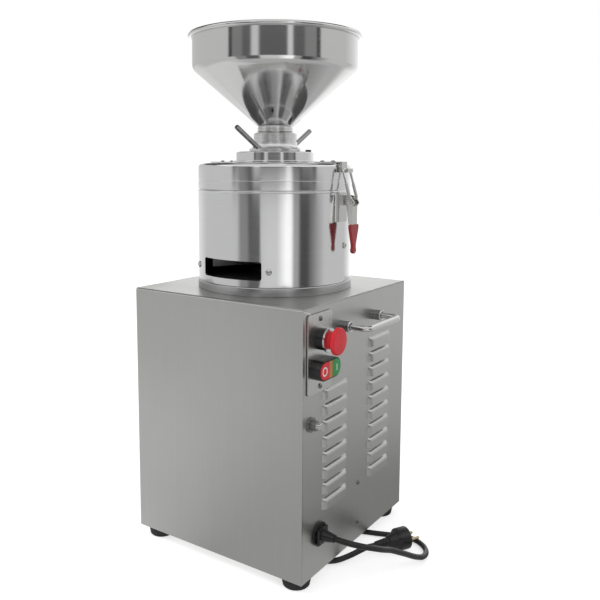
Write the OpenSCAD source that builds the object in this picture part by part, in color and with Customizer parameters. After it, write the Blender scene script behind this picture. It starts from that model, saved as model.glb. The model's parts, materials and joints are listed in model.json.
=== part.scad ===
// Bench-top colloid mill: a vertical motor in a louvred cabinet drives a toothed disc
// in a drum with a latched lid. A ring with two rods sets the grinding gap, and a
// polished hopper feeds the discs through a sleeve.
// Floor at Z = 0, discharge slot to the front at -Y, controls to the right at +X.

/* [Cabinet] */
// Width of the cabinet, left to right
cabinet_w = 340; // [330:5:400]
// Depth of the cabinet, front to back
cabinet_d = 340; // [330:5:400]
// Height of the cabinet above its feet
cabinet_h = 425; // [425:5:500]
// Thickness of the cabinet's sheet steel
sheet_t = 1.5; // [1:0.1:2]
// Outer radius of the bent sheet edges
bend_r = 4; // [3:0.5:6]
// Width of the folded lip behind the side panels
lip_w = 12; // [8:1:16]
// Height of the rubber feet
foot_h = 18; // [15:1:25]
// Radius of a rubber foot at its top
foot_r = 24; // [18:1:26]
// Distance of a foot's axis from the cabinet's sides
foot_inset = 27; // [26:1:40]
// Thickness of the plate that carries the motor
mount_plate_t = 8; // [6:1:12]

/* [Louvres] */
// Length of a louvre, ends included
louvre_len = 70; // [50:1:84]
// Height of a louvre's hood
louvre_h = 15; // [10:1:16]
// How far a hood stands out of the panel
louvre_out = 6; // [4:0.5:8]
// Distance between two louvres of a column
louvre_pitch = 25.4; // [22:0.2:25.4]
// Number of louvres in a front column
louvres_front = 8; // [4:1:8]
// Number of louvres in a rear column
louvres_rear = 10; // [4:1:10]
// Height of the lowest opening above the cabinet's bottom
louvre_z = 99; // [90:1:100]
// Distance of the front column's middle from the front of the cabinet
louvre_front_y = 94; // [90:1:110]
// Distance of the rear column's middle from the back of the cabinet
louvre_rear_y = 97; // [60:1:110]

/* [Handles] */
// Distance between the two feet of a handle
handle_span = 107; // [80:1:120]
// Distance from the panel to the middle of the grip bar
handle_out = 50; // [40:1:60]
// Radius of the handle's rod
handle_rod_r = 4.75; // [4:0.25:6]
// Bend radius of the rod at its middle line
handle_bend_r = 10; // [9:1:20]
// Distance of the handles below the cabinet's top
handle_drop = 42; // [36:1:60]
// Distance of a handle's middle in front of the cabinet's middle
handle_forward = 8; // [-10:1:16]
// Length of a ferrule at a handle's foot
ferrule_len = 18; // [12:1:22]
// Radius of a ferrule
ferrule_r = 8.5; // [7:0.5:9]

/* [Controls] */
// Width of the control plate
plate_w = 68; // [62:1:76]
// Height of the control plate
plate_h = 122; // [118:1:122]
// Thickness of the control plate
plate_t = 2; // [1.5:0.5:3]
// Corner radius of the control plate
plate_corner_r = 5; // [3:1:8]
// Thickness of the gasket behind the control plate
gasket_t = 1; // [0.5:0.5:2]
// Distance of the plate's top edge below the cabinet's top
plate_drop = 10; // [6:1:11]
// Distance of the plate's middle line from the cabinet's front
control_y = 44; // [42:1:54]
// Distance of the emergency stop below the cabinet's top
estop_drop = 50; // [44:1:55]
// Distance of the twin button below the cabinet's top
twin_drop = 94; // [89:1:100]
// Distance of the reset button below the cabinet's top
reset_drop = 178; // [170:1:200]
// Distance of the reset button from the cabinet's front
reset_y = 23; // [20:1:30]
// Radius of the mushroom head
mushroom_r = 21; // [18:0.5:22]
// Travel of the emergency stop
estop_travel = 5; // [3:0.5:6]
// Length of the twin button across its round ends
twin_len = 61; // [52:1:64]
// Height of the twin button
twin_h = 30; // [26:1:34]
// Travel of the push buttons
button_travel = 3; // [2:0.5:4]

/* [Drum] */
// Height of the ring under the drum
ring_h = 15; // [10:1:20]
// Outer radius of the drum
drum_r = 133; // [125:1:140]
// Wall thickness of the drum
drum_wall = 7; // [5:0.5:9]
// Height of the drum
drum_h = 153; // [148:1:180]
// Thickness of the drum's floor
drum_floor = 10; // [8:1:14]
// Half angle that the discharge slot covers
slot_angle = 26; // [18:1:28]
// Height of the discharge slot
slot_h = 30; // [20:1:30]
// Corner radius of the discharge slot
slot_corner_r = 4; // [2:1:8]
// Height of the lid
lid_h = 44; // [40:1:50]
// Height of the lid's lower band
lid_band_h = 15; // [10:1:20]
// Radius of the lid's rounded shoulder
lid_round = 7; // [4:1:10]
// Thickness of the lid's top
lid_top_t = 12; // [10:1:16]

/* [Grinding] */
// Radius of both grinding discs
disc_r = 95; // [85:1:100]
// Thickness of the lower grinding disc
rotor_t = 22; // [18:1:24]
// Thickness of the upper grinding disc
stator_t = 20; // [16:1:24]
// Gap between the discs at rest
disc_gap = 1; // [0.8:0.1:2]
// Number of grinding grooves in each disc
grooves = 16; // [8:1:20]
// Width of a grinding groove
groove_w = 4; // [2:0.5:5]
// Depth of a grinding groove
groove_d = 3; // [1:0.5:4]
// Radius of the shaft in the mill
shaft_r = 12.5; // [11:0.5:14]

/* [Adjuster] */
// Radius of the plate on the lid
pad_r = 73; // [71:1:80]
// Thickness of the plate on the lid
pad_t = 4; // [3:1:6]
// Radius of the flange on the plate
flange_r = 68; // [64:1:70]
// Height of the flange
flange_h = 15; // [10:1:18]
// Radius of the adjusting ring at its foot
collar_r = 45; // [43:1:48]
// Radius of the adjusting ring at its top
collar_top_r = 38; // [37:1:42]
// Height of the adjusting ring
collar_h = 17; // [16:1:20]
// Radius of the knurled lock ring
lock_r = 37; // [36.5:0.5:40]
// Height of the knurled lock ring
lock_h = 14; // [10:1:18]
// Radius of a lever rod
rod_r = 4.25; // [3:0.25:4.5]
// Length of a lever rod outside the ring
rod_len = 58; // [40:1:70]
// Angle at which the rods rise
rod_rise = 33; // [30:1:38]
// Direction of the first rod, seen from above
rod_turn = -98; // [-180:1:180]
// Outer radius of the feed sleeve
sleeve_r = 34; // [32:0.5:34.5]
// Bore radius of the feed sleeve
sleeve_bore_r = 25; // [20:1:27]

/* [Hopper] */
// Outer radius of the hopper's bowl
hopper_r = 142; // [110:1:170]
// Height of the hopper's straight part
hopper_band_h = 58; // [30:1:90]
// Height of the hopper's cone
hopper_cone_h = 94; // [70:1:120]
// Sheet thickness of the hopper
hopper_wall = 1.5; // [1:0.1:2.5]
// Radius of the rolled rim
hopper_rim_r = 3.5; // [2.5:0.5:6]
// Outer radius of the hopper's neck
neck_r = 30; // [28.5:0.5:34]
// Height of the hopper's neck
neck_h = 10; // [8:1:16]
// Depth of the hopper's socket over the sleeve's tip
socket_depth = 5.5; // [4:0.5:6]

/* [Latches] */
// Distance of a lever's pivot from the drum
pivot_out = 17; // [16:0.5:20]
// Distance of a lever's pivot below the lid's joint
pivot_drop = 13; // [11:1:16]
// Distance from a lever's pivot to the bail's pivot
bail_arm = 10; // [9.5:0.5:11]
// Radius of the bail's wire
wire_r = 2; // [1.5:0.1:2.2]
// Distance between the two legs of a bail
bail_w = 23; // [22.8:0.2:26]
// Length of a lever's steel part
lever_len = 42; // [36:1:50]
// Length of a lever's grip
grip_len = 48; // [40:1:56]
// Sheet thickness of a keeper
keeper_t = 2.5; // [2:0.1:3]
// Radius of a lever's pin
pin_r = 2.5; // [2:0.1:3]

/* [Cord] */
// Diameter of the mains cord
cord_d = 9; // [7:0.5:10]
// Height of the cable gland above the cabinet's bottom
gland_z = 64; // [60:1:70]
// Distance of the cable gland from the cabinet's front
gland_y = 48; // [44:1:52]

/* [Hidden] */
$fn = 72;

// Overcut of holes past their faces
cut = 1;
// Gap between pieces that move past each other
gap = 0.3;
// Radial clearance of sliding and running fits
fit = 0.05;
// Seam between two sheets of the cabinet
seam = 0.3;

// Levels of the cabinet
z_bottom = foot_h;
z_top = foot_h + cabinet_h;
z_under = z_top - sheet_t;
side_x = cabinet_w / 2;
front_y = -cabinet_d / 2;
lip_x = side_x - 2 * sheet_t;

// Places on the right side panel
plate_y = front_y + control_y;
plate_z = z_top - plate_drop - plate_h / 2;
estop_z = z_top - estop_drop;
twin_z = z_top - twin_drop;
reset_pos_y = front_y + reset_y;
reset_z = z_top - reset_drop;
handle_z = z_top - handle_drop;
gland_pos_y = front_y + gland_y;
gland_pos_z = z_bottom + gland_z;
plate_face = gasket_t + plate_t;
plate_room = cabinet_h - plate_drop - plate_h - 1;
handle_room = cabinet_h - handle_drop - ferrule_r - 4;
plate_screw_in = 9;
panel_screw_z = [30, 100];
panel_screw_y = 4;

// Screws with a pan head
screw_r = 2;
screw_head_r = 4;
screw_head_h = 2.4;
screw_len = 5;

// Parts of the controls
estop_hole_r = 11;
estop_collar_r = 16.5;
estop_collar_h = 14;
estop_ring_r = 18.5;
estop_ring_h = 3;
estop_neck_r = 13;
estop_neck_out = 5;
estop_head_h = 9;
estop_stem_r = 6;
estop_block = [34, 30, 44];
twin_rim = 1.6;
twin_out = 18;
twin_pocket = 9;
twin_hole_r = 11;
twin_key_out = 1;
lens_w = 11;
reset_hole_r = 8;
reset_washer_r = 11.5;
reset_washer_t = 3;
reset_neck_h = 11;
reset_cap_r = 6;
reset_cap_out = 8;
reset_back = 30;

// Cable gland, cord and plug
gland_thread_r = 10;
gland_flange_r = 19;
gland_flange_t = 4;
gland_body_r = 13;
gland_body_h = 6;
gland_taper = [9.5, 6];
gland_taper_len = 20;
gland_back = 12;
gland_nut_r = 16;
gland_nut_t = 6;
gland_clamp_z = 11;
cord_sides = 10;
cord_steps = 2;
plug_angle = 60;
plug_tail = [207, -1.5, 18.7];
plug_tail_r = 7;
plug_tail_len = 24;
plug_neck_r = 10;
plug_r = 18.5;
plug_len = 40;
plug_pin_r = 2.4;
plug_pin_len = 19;
plug_pin_pitch = 19;
plug_lead = 18;
cord_route = [
    [200, -122, 82], [214, -122, 82], [230, -119, 81], [245, -111.5, 78.5], [256, -98.5, 73.5],
    [261.5, -82.5, 66], [265, -60.5, 56], [269, -39, 44], [273, -17.5, 31.5], [277.5, 4, 19],
    [281.5, 26.5, 9.5], [277.5, 49.5, 5.5], [264.5, 66.5, 5], [245, 76.5, 5], [221.5, 76.5, 5],
    [200, 67.5, 5], [179, 59, 5], [157.5, 51.5, 5], [136, 43.5, 5], [114, 35.5, 5], [94, 23, 5],
    [81, 3, 5], [77.5, -20, 5], [84, -43, 5], [99, -61, 5], [120.5, -71.5, 5], [144, -72, 5],
    [166, -62.5, 7.5], [182, -45, 12.5],
    plug_tail - plug_lead * [cos(plug_angle), sin(plug_angle), 0], plug_tail
];

// Motor under the mounting plate
motor_z = z_under - mount_plate_t;
motor_spigot_r = 58;
motor_spigot_h = 5;
motor_flange_r = 100;
motor_flange_t = 12;
motor_r = 80;
motor_bore_r = 70;
motor_len = 190;
motor_fins = 24;
motor_fin = [8, 3];
shield_h = 16;
low_shield_h = 12;
upper_bearing = [31, 15, 14];
lower_bearing = [23, 10, 12];
core_r = 47.4;
core_gap = 0.6;
core_len = 130;
cowl_h = 55;
cowl_t = 1.5;
cowl_slots = 10;
cowl_slot = [44, 6];
fan_r = 62;
fan_hub_r = 20;
fan_h = 24;
fan_blades = 8;
fan_blade_t = 3;
fan_above_grille = 8;
core_shaft_r = 18;
capacitor_r = 22;
capacitor_h = 95;
capacitor_at = [65 - side_x, 75 - cabinet_d / 2];
z_housing1 = motor_z - motor_flange_t - shield_h;
z_housing0 = z_housing1 - motor_len;
z_shield0 = z_housing0 - low_shield_h;
z_cowl0 = z_shield0 - cowl_h + low_shield_h;

// Levels of the mill
z_drum = z_top + ring_h;
z_floor = z_drum + drum_floor;
z_lid = z_drum + drum_h;
z_lid_top = z_lid + lid_h;
z_pad_top = z_lid_top + pad_t;
z_flange_top = z_pad_top + flange_h;
z_collar = z_flange_top + gap;
z_collar_top = z_collar + collar_h;
z_lock = z_collar_top + gap;
z_lock_top = z_lock + lock_h;
z_sleeve_top = z_lock_top + 0.7;
z_seat = z_sleeve_top + gap;
sleeve_tip_r = max(neck_r - 3, sleeve_bore_r + 1);
z_socket = z_seat + socket_depth;
z_cone = z_seat + neck_h;
z_band = z_cone + hopper_cone_h;
z_rim = z_band + hopper_band_h;
ring_proud = 1;
slot_lip = 1;
boss_r = 44;
boss_h = 8;
seal_r = 32;
seal_h = 11;
sweeper_z = z_floor + boss_h + 3;
sweeper_r = 112;
sweeper_hub_r = 26;
sweeper_h = 18;
sweeper_blade = [10, 14];
sweeper_blades = 3;
z_rotor = sweeper_z + sweeper_h + 3;
z_rotor_top = z_rotor + rotor_t;
z_stator = z_rotor_top + disc_gap;
z_stator_top = z_stator + stator_t;
eye_r = 45;
dish_d = 10;
nut_seat_r = 24;
nut_r = 20;
nut_h = 14;
thread_r = 10;
thread_len = 11;
groove_skew = 28;
rim_teeth = 24;
rim_tooth_r = 4;
sleeve_flange_r = 60;
sleeve_flange_t = 8;
drum_bore_r = drum_r - drum_wall;
drum_chamfer = 1;
register_h = 6;
register_w = 8;
lid_boss_r = 52;
lid_boss_h = 23;
lid_groove = 0.8;
gasket_w = 3;
gasket_h = 1.5;
flange_screw_r = 3;
flange_screw_head_r = 5;
flange_screw_pcd = 58;
stop_screw_turn = 25;
stop_screw_h = 4;
knurls = 40;
knurl_r = 0.9;
rod_seat_z = 8;
rod_seat_len = 6;
thread_clear = gap;

// Points of a latch, as distance from the drum's axis and height
pivot = [drum_r + pivot_out, z_lid - pivot_drop];
bail_dir = -40;
bail_pin = pivot + bail_arm * [cos(bail_dir), sin(bail_dir)];
hook_in = drum_r + 3;
trough_w = 8.5;
trough_drop = 15;
lip_h = 4;
trough_z = z_lid_top - trough_drop + keeper_t;
bail_bar = [hook_in + keeper_t + 3.5, trough_z + wire_r + gap];
knuckle_r = wire_r + 0.4;
tongue_w = bail_w - 2 * (knuckle_r + gap);
keeper_len = 50;
keeper_screw_in = [19, 40];
ear_in = 3.5;
ear_t = 2.5;
side_gap = 0.4;
flange_in = ear_in + ear_t + side_gap;
lever_t = 2;
base_h = 48;
base_w = 26;
base_t = 3.5;
ear_r = 5.5;
spring_r = 2.8;
spring_at = [8, 32];
grip_w = 26;
grip_tip_r = 6;
grip_t = 6;
drum_screw_turns = [-129, -59, 5.7, 185.7];
drum_screw_up = [25, 25, 61, 61];
drum_head_r = 5.5;
drum_head_h = 3;

// Points of an arc around a centre
function arc_points(centre, r, a0, a1, n) =
    [for (i = [0:n]) let (a = a0 + (a1 - a0) * i / n) centre + r * [cos(a), sin(a)]];

// Outline of a rectangle with corners rounded in short steps
function rounded_outline(w, h, r) =
    [for (q = [0:3]) let (x = q == 0 || q == 3 ? 1 : -1, y = q < 2 ? 1 : -1)
        each arc_points([x * (w / 2 - r), y * (h / 2 - r)], r, 90 * q, 90 * q + 90, 5)];

// Place things on the right side panel: X along it, Y up and Z outwards
module on_panel(y, z) {
    translate([side_x, y, z])
        rotate([90, 0, 90])
            children();
}

// Turn the right side's pieces to the left side
module to_left() {
    rotate([0, 0, 180])
        children();
}

// Extrude an outline in the plane of distance and height across Y
module across(w) {
    rotate([90, 0, 0])
        linear_extrude(w, center = true)
            children();
}

module tube(r_out, r_in, h) {
    difference() {
        cylinder(r = r_out, h = h);
        translate([0, 0, -cut])
            cylinder(r = r_in, h = h + 2 * cut);
    }
}

module round_rect(w, h, r) {
    square([w - 2 * r, h], center = true);
    square([w, h - 2 * r], center = true);
    for (x = [-1, 1], y = [-1, 1])
        translate([x * (w / 2 - r), y * (h / 2 - r)])
            circle(r);
}

module stadium(len, h) {
    square([len - h, h], center = true);
    for (x = [-1, 1])
        translate([x * (len - h) / 2, 0])
            circle(h / 2);
}

module pan_screw(r = screw_r, head_r = screw_head_r, head_h = screw_head_h, len = screw_len) {
    cylinder(r1 = head_r, r2 = head_r * 0.7, h = head_h);
    translate([0, 0, -len])
        cylinder(r = r, h = len + head_h / 2);
}

module screw_hole(r = screw_r, len = screw_len) {
    translate([0, 0, -len - gap])
        cylinder(r = r + fit, h = len + gap + cut);
}

// Outline of a sheet with rounded upper corners, standing on the X axis
module arched(w, h, r) {
    translate([-w / 2, 0])
        square([w, h - r]);
    translate([-w / 2 + r, 0])
        square([w - 2 * r, h]);
    for (x = [-1, 1])
        translate([x * (w / 2 - r), h - r])
            circle(r);
}

module bent_band(t) {
    difference() {
        arched(cabinet_d, cabinet_h, bend_r);
        translate([0, -cut])
            arched(cabinet_d - 2 * t, cabinet_h - t + cut, max(bend_r - t, 0.5));
    }
}

module foot_places() {
    for (x = [-1, 1], y = [-1, 1])
        translate([x * (side_x - foot_inset), y * (cabinet_d / 2 - foot_inset), 0])
            children();
}

// Front, top and back of the cabinet, bent from one sheet, with lips behind the side panels
module cabinet_wrap() {
    color("#a9a9a6")
        difference() {
            translate([0, 0, z_bottom])
                rotate([90, 0, 90]) {
                    linear_extrude(cabinet_w, center = true)
                        bent_band(sheet_t);
                    for (x = [-1, 1])
                        translate([0, 0, x * (lip_x + sheet_t / 2)])
                            linear_extrude(sheet_t, center = true)
                                bent_band(lip_w);
                }
            translate([0, 0, z_under - cut])
                cylinder(r = motor_spigot_r + fit, h = sheet_t + 2 * cut);
        }
}

// Number of louvres in a column that ends below what is above it
function louvre_rows(most, room) = min(most, floor((room - louvre_z - louvre_h) / louvre_pitch) + 1);

// Outline of a louvre's hood in the plane of distance and height
function hood_outline(out, h, below) =
    let (r = (out * out + h * h) / (2 * out))
    concat([[0, -below], [out, -below]], arc_points([out - r, 0], r, 0, asin(h / r), 5));

module hood(len, out, h, below = 0) {
    across(len - 2 * out)
        polygon(hood_outline(out, h, below));
    for (turn = [0, 1])
        mirror([0, turn, 0])
            translate([0, len / 2 - out, 0])
                rotate_extrude(angle = 90)
                    polygon(hood_outline(out, h, below));
}

module hood_places(front, rear) {
    for (i = [0:front - 1])
        translate([side_x, front_y + louvre_front_y, z_bottom + louvre_z + i * louvre_pitch])
            children();
    for (i = [0:rear - 1])
        translate([side_x, -front_y - louvre_rear_y, z_bottom + louvre_z + i * louvre_pitch])
            children();
}

module hood_hollow() {
    hood(louvre_len - 2 * sheet_t, louvre_out - sheet_t, louvre_h - 1.5 * sheet_t, cut);
    translate([-sheet_t - cut, -louvre_len / 2 + louvre_out, 0])
        cube([sheet_t + 2 * cut, louvre_len - 2 * louvre_out, louvre_h * 0.6]);
}

module side_sheet() {
    width = cabinet_d - 2 * (sheet_t + seam);
    height = cabinet_h - sheet_t - seam;
    translate([side_x - sheet_t, 0, z_bottom])
        rotate([90, 0, 90])
            linear_extrude(sheet_t)
                arched(width, height, bend_r);
}

module louvred_panel(front, rear, handle_y) {
    difference() {
        union() {
            side_sheet();
            hood_places(front, rear)
                hood(louvre_len, louvre_out, louvre_h);
        }
        hood_places(front, rear)
            hood_hollow();
        for (y = [-1, 1])
            on_panel(handle_y + y * handle_span / 2, handle_z)
                screw_hole(handle_stud_r, sheet_t);
        panel_screw_places()
            screw_hole();
    }
}

module panel_screw_places() {
    for (z = panel_screw_z)
        on_panel(panel_screw_y, z_bottom + z)
            children();
}

module right_side_panel() {
    color("#9d9d9a")
        difference() {
            louvred_panel(
                louvre_rows(louvres_front, plate_room), louvre_rows(louvres_rear, handle_room), -handle_forward
            );
            on_panel(plate_y, estop_z)
                screw_hole(estop_hole_r, sheet_t);
            on_panel(plate_y, twin_z)
                twin_holes(sheet_t);
            on_panel(reset_pos_y, reset_z)
                screw_hole(reset_hole_r, sheet_t);
            on_panel(gland_pos_y, gland_pos_z)
                screw_hole(gland_thread_r, sheet_t);
            plate_screw_places(0)
                screw_hole(screw_r, screw_len);
        }
}

module left_side_panel() {
    color("#9d9d9a")
        to_left()
            louvred_panel(
                louvre_rows(louvres_rear, handle_room), louvre_rows(louvres_rear, handle_room), handle_forward
            );
}

module base_plate() {
    color("#8f908e")
        difference() {
            translate([-lip_x + seam, front_y + sheet_t + seam, z_bottom])
                cube([2 * (lip_x - seam), cabinet_d - 2 * (sheet_t + seam), sheet_t]);
            foot_places()
                translate([0, 0, z_bottom - cut])
                    cylinder(r = foot_bolt_r + fit, h = sheet_t + 2 * cut);
        }
}

module mounting_plate() {
    depth = cabinet_d - 2 * (sheet_t + bend_r);
    color("#77787a")
        difference() {
            translate([-lip_x + seam, -depth / 2, motor_z])
                cube([2 * (lip_x - seam), depth, mount_plate_t]);
            translate([0, 0, motor_z - cut])
                cylinder(r = motor_spigot_r + fit, h = mount_plate_t + 2 * cut);
        }
}

// Rubber feet with a sunk screw
foot_bolt_r = 3;
foot_head_r = 6.5;
foot_head_h = 4;
foot_sink = 7;
foot_nut_r = 6;
foot_nut_h = 5;
foot_taper = 2.5;
foot_edge = 2;

module rubber_feet() {
    color("#1b1b1c")
        foot_places()
            rotate_extrude()
                polygon([
                    [foot_bolt_r + fit, foot_sink], [foot_head_r + gap, foot_sink],
                    [foot_head_r + gap, 0], [foot_r - foot_taper - foot_edge, 0],
                    [foot_r - foot_taper, foot_edge], [foot_r, foot_h - foot_edge],
                    [foot_r, foot_h], [foot_bolt_r + fit, foot_h]
                ]);
}

module foot_screws() {
    color("#8a8c8e")
        foot_places() {
            translate([0, 0, foot_sink - foot_head_h])
                cylinder(r = foot_head_r, h = foot_head_h);
            translate([0, 0, foot_sink - cut])
                cylinder(r = foot_bolt_r, h = foot_h - foot_sink + sheet_t + foot_nut_h + 2 * cut);
            translate([0, 0, foot_h + sheet_t])
                cylinder(r = foot_nut_r, h = foot_nut_h, $fn = 6);
        }
}

// Bow handles of bent rod, with a ribbed ferrule at each foot
handle_stud_r = 3;
handle_stud_len = 8;
ferrule_ribs = 3;
ferrule_rib_d = 0.8;

module bow_handle(middle_y) {
    half = handle_span / 2;
    translate([side_x, middle_y, handle_z]) {
        for (turn = [0, 1])
            mirror([0, turn, 0]) {
                translate([0, half, 0])
                    rotate([0, 90, 0]) {
                        cylinder(r = handle_rod_r, h = handle_out - handle_bend_r);
                        translate([0, 0, -handle_stud_len])
                            cylinder(r = handle_stud_r, h = handle_stud_len + cut);
                    }
                translate([handle_out - handle_bend_r, half - handle_bend_r, 0])
                    rotate_extrude(angle = 90)
                        translate([handle_bend_r, 0])
                            circle(handle_rod_r);
            }
        translate([handle_out, half - handle_bend_r, 0])
            rotate([90, 0, 0])
                cylinder(r = handle_rod_r, h = handle_span - 2 * handle_bend_r);
    }
}

module right_handle() {
    color("#d9dadb")
        bow_handle(-handle_forward);
}

module left_handle() {
    color("#d9dadb")
        to_left()
            bow_handle(handle_forward);
}

module ferrule() {
    pitch = ferrule_len / ferrule_ribs;
    difference() {
        tube(ferrule_r, handle_rod_r + fit, ferrule_len);
        for (i = [1:ferrule_ribs - 1])
            translate([0, 0, i * pitch - pitch / 8])
                tube(ferrule_r + cut, ferrule_r - ferrule_rib_d, pitch / 4);
    }
}

module handle_ferrules() {
    color("#3a3b3d")
        for (side = [-1, 1], y = [-1, 1])
            rotate([0, 0, 90 + side * 90])
                on_panel(side * handle_forward + y * handle_span / 2, handle_z)
                    ferrule();
}

module plate_screw_places(out) {
    for (z = [-1, 1])
        on_panel(plate_y, plate_z + z * (plate_h / 2 - plate_screw_in))
            translate([0, 0, out])
                children();
}

module panel_screws() {
    color("#6f7072") {
        plate_screw_places(plate_face)
            pan_screw(len = plate_face + screw_len);
        for (turn = [0, 180])
            rotate([0, 0, turn])
                panel_screw_places()
                    pan_screw();
    }
}

// Control plate and the pieces on it
module twin_holes(depth) {
    for (x = [-1, 1])
        translate([x * (twin_len - twin_h) / 2, 0, 0])
            screw_hole(twin_hole_r, depth);
}

module plate_blank(t) {
    difference() {
        linear_extrude(t)
            round_rect(plate_w, plate_h, plate_corner_r);
        translate([0, estop_z - plate_z, t])
            screw_hole(estop_hole_r, t);
        translate([0, twin_z - plate_z, t])
            twin_holes(t);
        for (z = [-1, 1])
            translate([0, z * (plate_h / 2 - plate_screw_in), t])
                screw_hole(screw_r, t);
    }
}

module control_gasket() {
    color("#202021")
        on_panel(plate_y, plate_z)
            plate_blank(gasket_t);
}

module control_plate() {
    color("#b4b5b4")
        on_panel(plate_y, plate_z)
            translate([0, 0, gasket_t])
                plate_blank(plate_t);
}

module estop_body() {
    color("#1d1d1f")
        on_panel(plate_y, estop_z)
            difference() {
                union() {
                    translate([0, 0, plate_face])
                        cylinder(r = estop_collar_r, h = estop_collar_h);
                    translate([0, 0, -sheet_t - cut])
                        cylinder(r = estop_hole_r, h = plate_face + sheet_t + 2 * cut);
                    translate([-estop_block.x / 2, -estop_block.y / 2, -sheet_t - gap - estop_block.z])
                        cube(estop_block);
                }
                translate([0, 0, plate_face + estop_collar_h - estop_travel - 4])
                    cylinder(r = estop_neck_r + gap, h = estop_collar_h);
                translate([0, 0, -estop_travel - 4])
                    cylinder(r = estop_stem_r + fit, h = estop_collar_h + 2 * estop_travel);
            }
}

module estop_ring() {
    color("#d4d5d6")
        on_panel(plate_y, estop_z)
            translate([0, 0, plate_face + estop_collar_h])
                tube(estop_ring_r, estop_neck_r + gap, estop_ring_h);
}

module estop_mushroom() {
    base = plate_face + estop_collar_h - 3;
    head = plate_face + estop_collar_h + estop_ring_h + estop_travel + estop_neck_out;
    color("#c8202a")
        on_panel(plate_y, estop_z) {
            translate([0, 0, 1])
                cylinder(r = estop_stem_r, h = base);
            rotate_extrude()
                polygon(concat(
                    [[0, base], [estop_neck_r, base], [estop_neck_r, head - 3],
                     [mushroom_r - 2, head], [mushroom_r, head + 2]],
                    arc_points([mushroom_r - 4, head + estop_head_h - 5], 4, 0, 70, 4),
                    [[0, head + estop_head_h]]
                ));
        }
}

module twin_switch_body() {
    color("#18181a")
        on_panel(plate_y, twin_z) {
            difference() {
                translate([0, 0, plate_face])
                    linear_extrude(twin_out)
                        stadium(twin_len, twin_h);
                translate([0, 0, plate_face + twin_out - twin_pocket])
                    linear_extrude(twin_pocket + cut)
                        stadium(twin_len - 2 * twin_rim, twin_h - 2 * twin_rim);
            }
            for (x = [-1, 1])
                translate([x * (twin_len - twin_h) / 2, 0, -sheet_t - 20])
                    cylinder(r = twin_hole_r, h = sheet_t + 20 + plate_face + cut);
        }
}

// One third of the twin button's face, from x0 to x1
module twin_key(x0, x1, back) {
    on_panel(plate_y, twin_z)
        translate([0, 0, plate_face + twin_out - twin_pocket + back])
            linear_extrude(twin_pocket - back + twin_key_out)
                intersection() {
                    stadium(twin_len - 2 * twin_rim - 2 * gap, twin_h - 2 * twin_rim - 2 * gap);
                    translate([x0, -twin_h / 2])
                        square([x1 - x0, twin_h]);
                }
}

module pilot_lens() {
    color("#d8862a")
        twin_key(-lens_w / 2 + gap, lens_w / 2 - gap, 0);
}

module stop_button() {
    color("#c4232a")
        twin_key(-twin_len / 2, -lens_w / 2 - gap, button_travel + gap);
}

module start_button() {
    color("#1d8a3c")
        twin_key(lens_w / 2 + gap, twin_len / 2, button_travel + gap);
}

module reset_bezel() {
    color("#56575a")
        on_panel(reset_pos_y, reset_z)
            difference() {
                union() {
                    cylinder(r = reset_washer_r, h = reset_washer_t);
                    cylinder(r = reset_hole_r, h = reset_neck_h);
                    translate([0, 0, -sheet_t - cut])
                        cylinder(r = reset_hole_r, h = sheet_t + 2 * cut);
                    translate([0, 0, -sheet_t - gap - reset_back])
                        cylinder(r = reset_washer_r, h = reset_back);
                }
                translate([0, 0, reset_neck_h - button_travel - 4])
                    cylinder(r = reset_cap_r + fit, h = reset_neck_h);
            }
}

module reset_button() {
    color("#c9cacb")
        on_panel(reset_pos_y, reset_z)
            translate([0, 0, reset_neck_h - 3])
                rotate_extrude()
                    polygon(concat(
                        [[0, 0], [reset_cap_r, 0]],
                        arc_points([reset_cap_r - 2, reset_cap_out + 1], 2, 0, 80, 4),
                        [[0, reset_cap_out + 3]]
                    ));
}

// Cable gland with a clamp and a tapered bend relief
module cable_gland() {
    reach = gland_flange_t + gland_body_h;
    color("#161617")
        on_panel(gland_pos_y, gland_pos_z) {
            cylinder(r = gland_flange_r, h = gland_flange_t);
            cylinder(r = gland_body_r, h = reach);
            translate([0, 0, reach])
                cylinder(r1 = gland_taper[0], r2 = gland_taper[1], h = gland_taper_len);
            translate([0, 0, -sheet_t - gland_back])
                cylinder(r = gland_thread_r, h = sheet_t + gland_back + cut);
            translate([0, 0, -sheet_t - gland_nut_t])
                cylinder(r = gland_nut_r, h = gland_nut_t, $fn = 6);
            for (x = [-1, 1])
                translate([x * gland_clamp_z, 0, gland_flange_t + gland_body_h / 2])
                    rotate([90, 0, 0])
                        cylinder(r = 3, h = gland_clamp_z * 2, center = true);
        }
}

// Points along the cord, rounded through the route's own points
function through(p, q, r, s, t) =
    0.5 * (2 * q + (r - p) * t + (2 * p - 5 * q + 4 * r - s) * t * t + (3 * q - p - 3 * r + s) * t * t * t);
function route_point(i) =
    i < 0 ? 2 * cord_route[0] - cord_route[1] :
    i >= len(cord_route) ? 2 * cord_route[len(cord_route) - 1] - cord_route[len(cord_route) - 2] :
    cord_route[i];
function smooth_route() = concat(
    [for (i = [0:len(cord_route) - 2], k = [0:cord_steps - 1])
        through(route_point(i - 1), route_point(i), route_point(i + 1), route_point(i + 2), k / cord_steps)],
    [cord_route[len(cord_route) - 1]]
);
function heading(line, i) =
    i == 0 ? cord_route[1] - cord_route[0] :
    i == len(line) - 1 ? cord_route[len(cord_route) - 1] - cord_route[len(cord_route) - 2] :
    line[i + 1] - line[i - 1];
function unit(v) = v / norm(v);
function ring_points(line, i) =
    let (ahead = unit(heading(line, i)), side = unit(cross(ahead, [0, 0, 1])), up = cross(side, ahead))
    [for (k = [0:cord_sides - 1])
        line[i] + cord_d / 2 * (cos(360 * k / cord_sides) * side + sin(360 * k / cord_sides) * up)];

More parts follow.
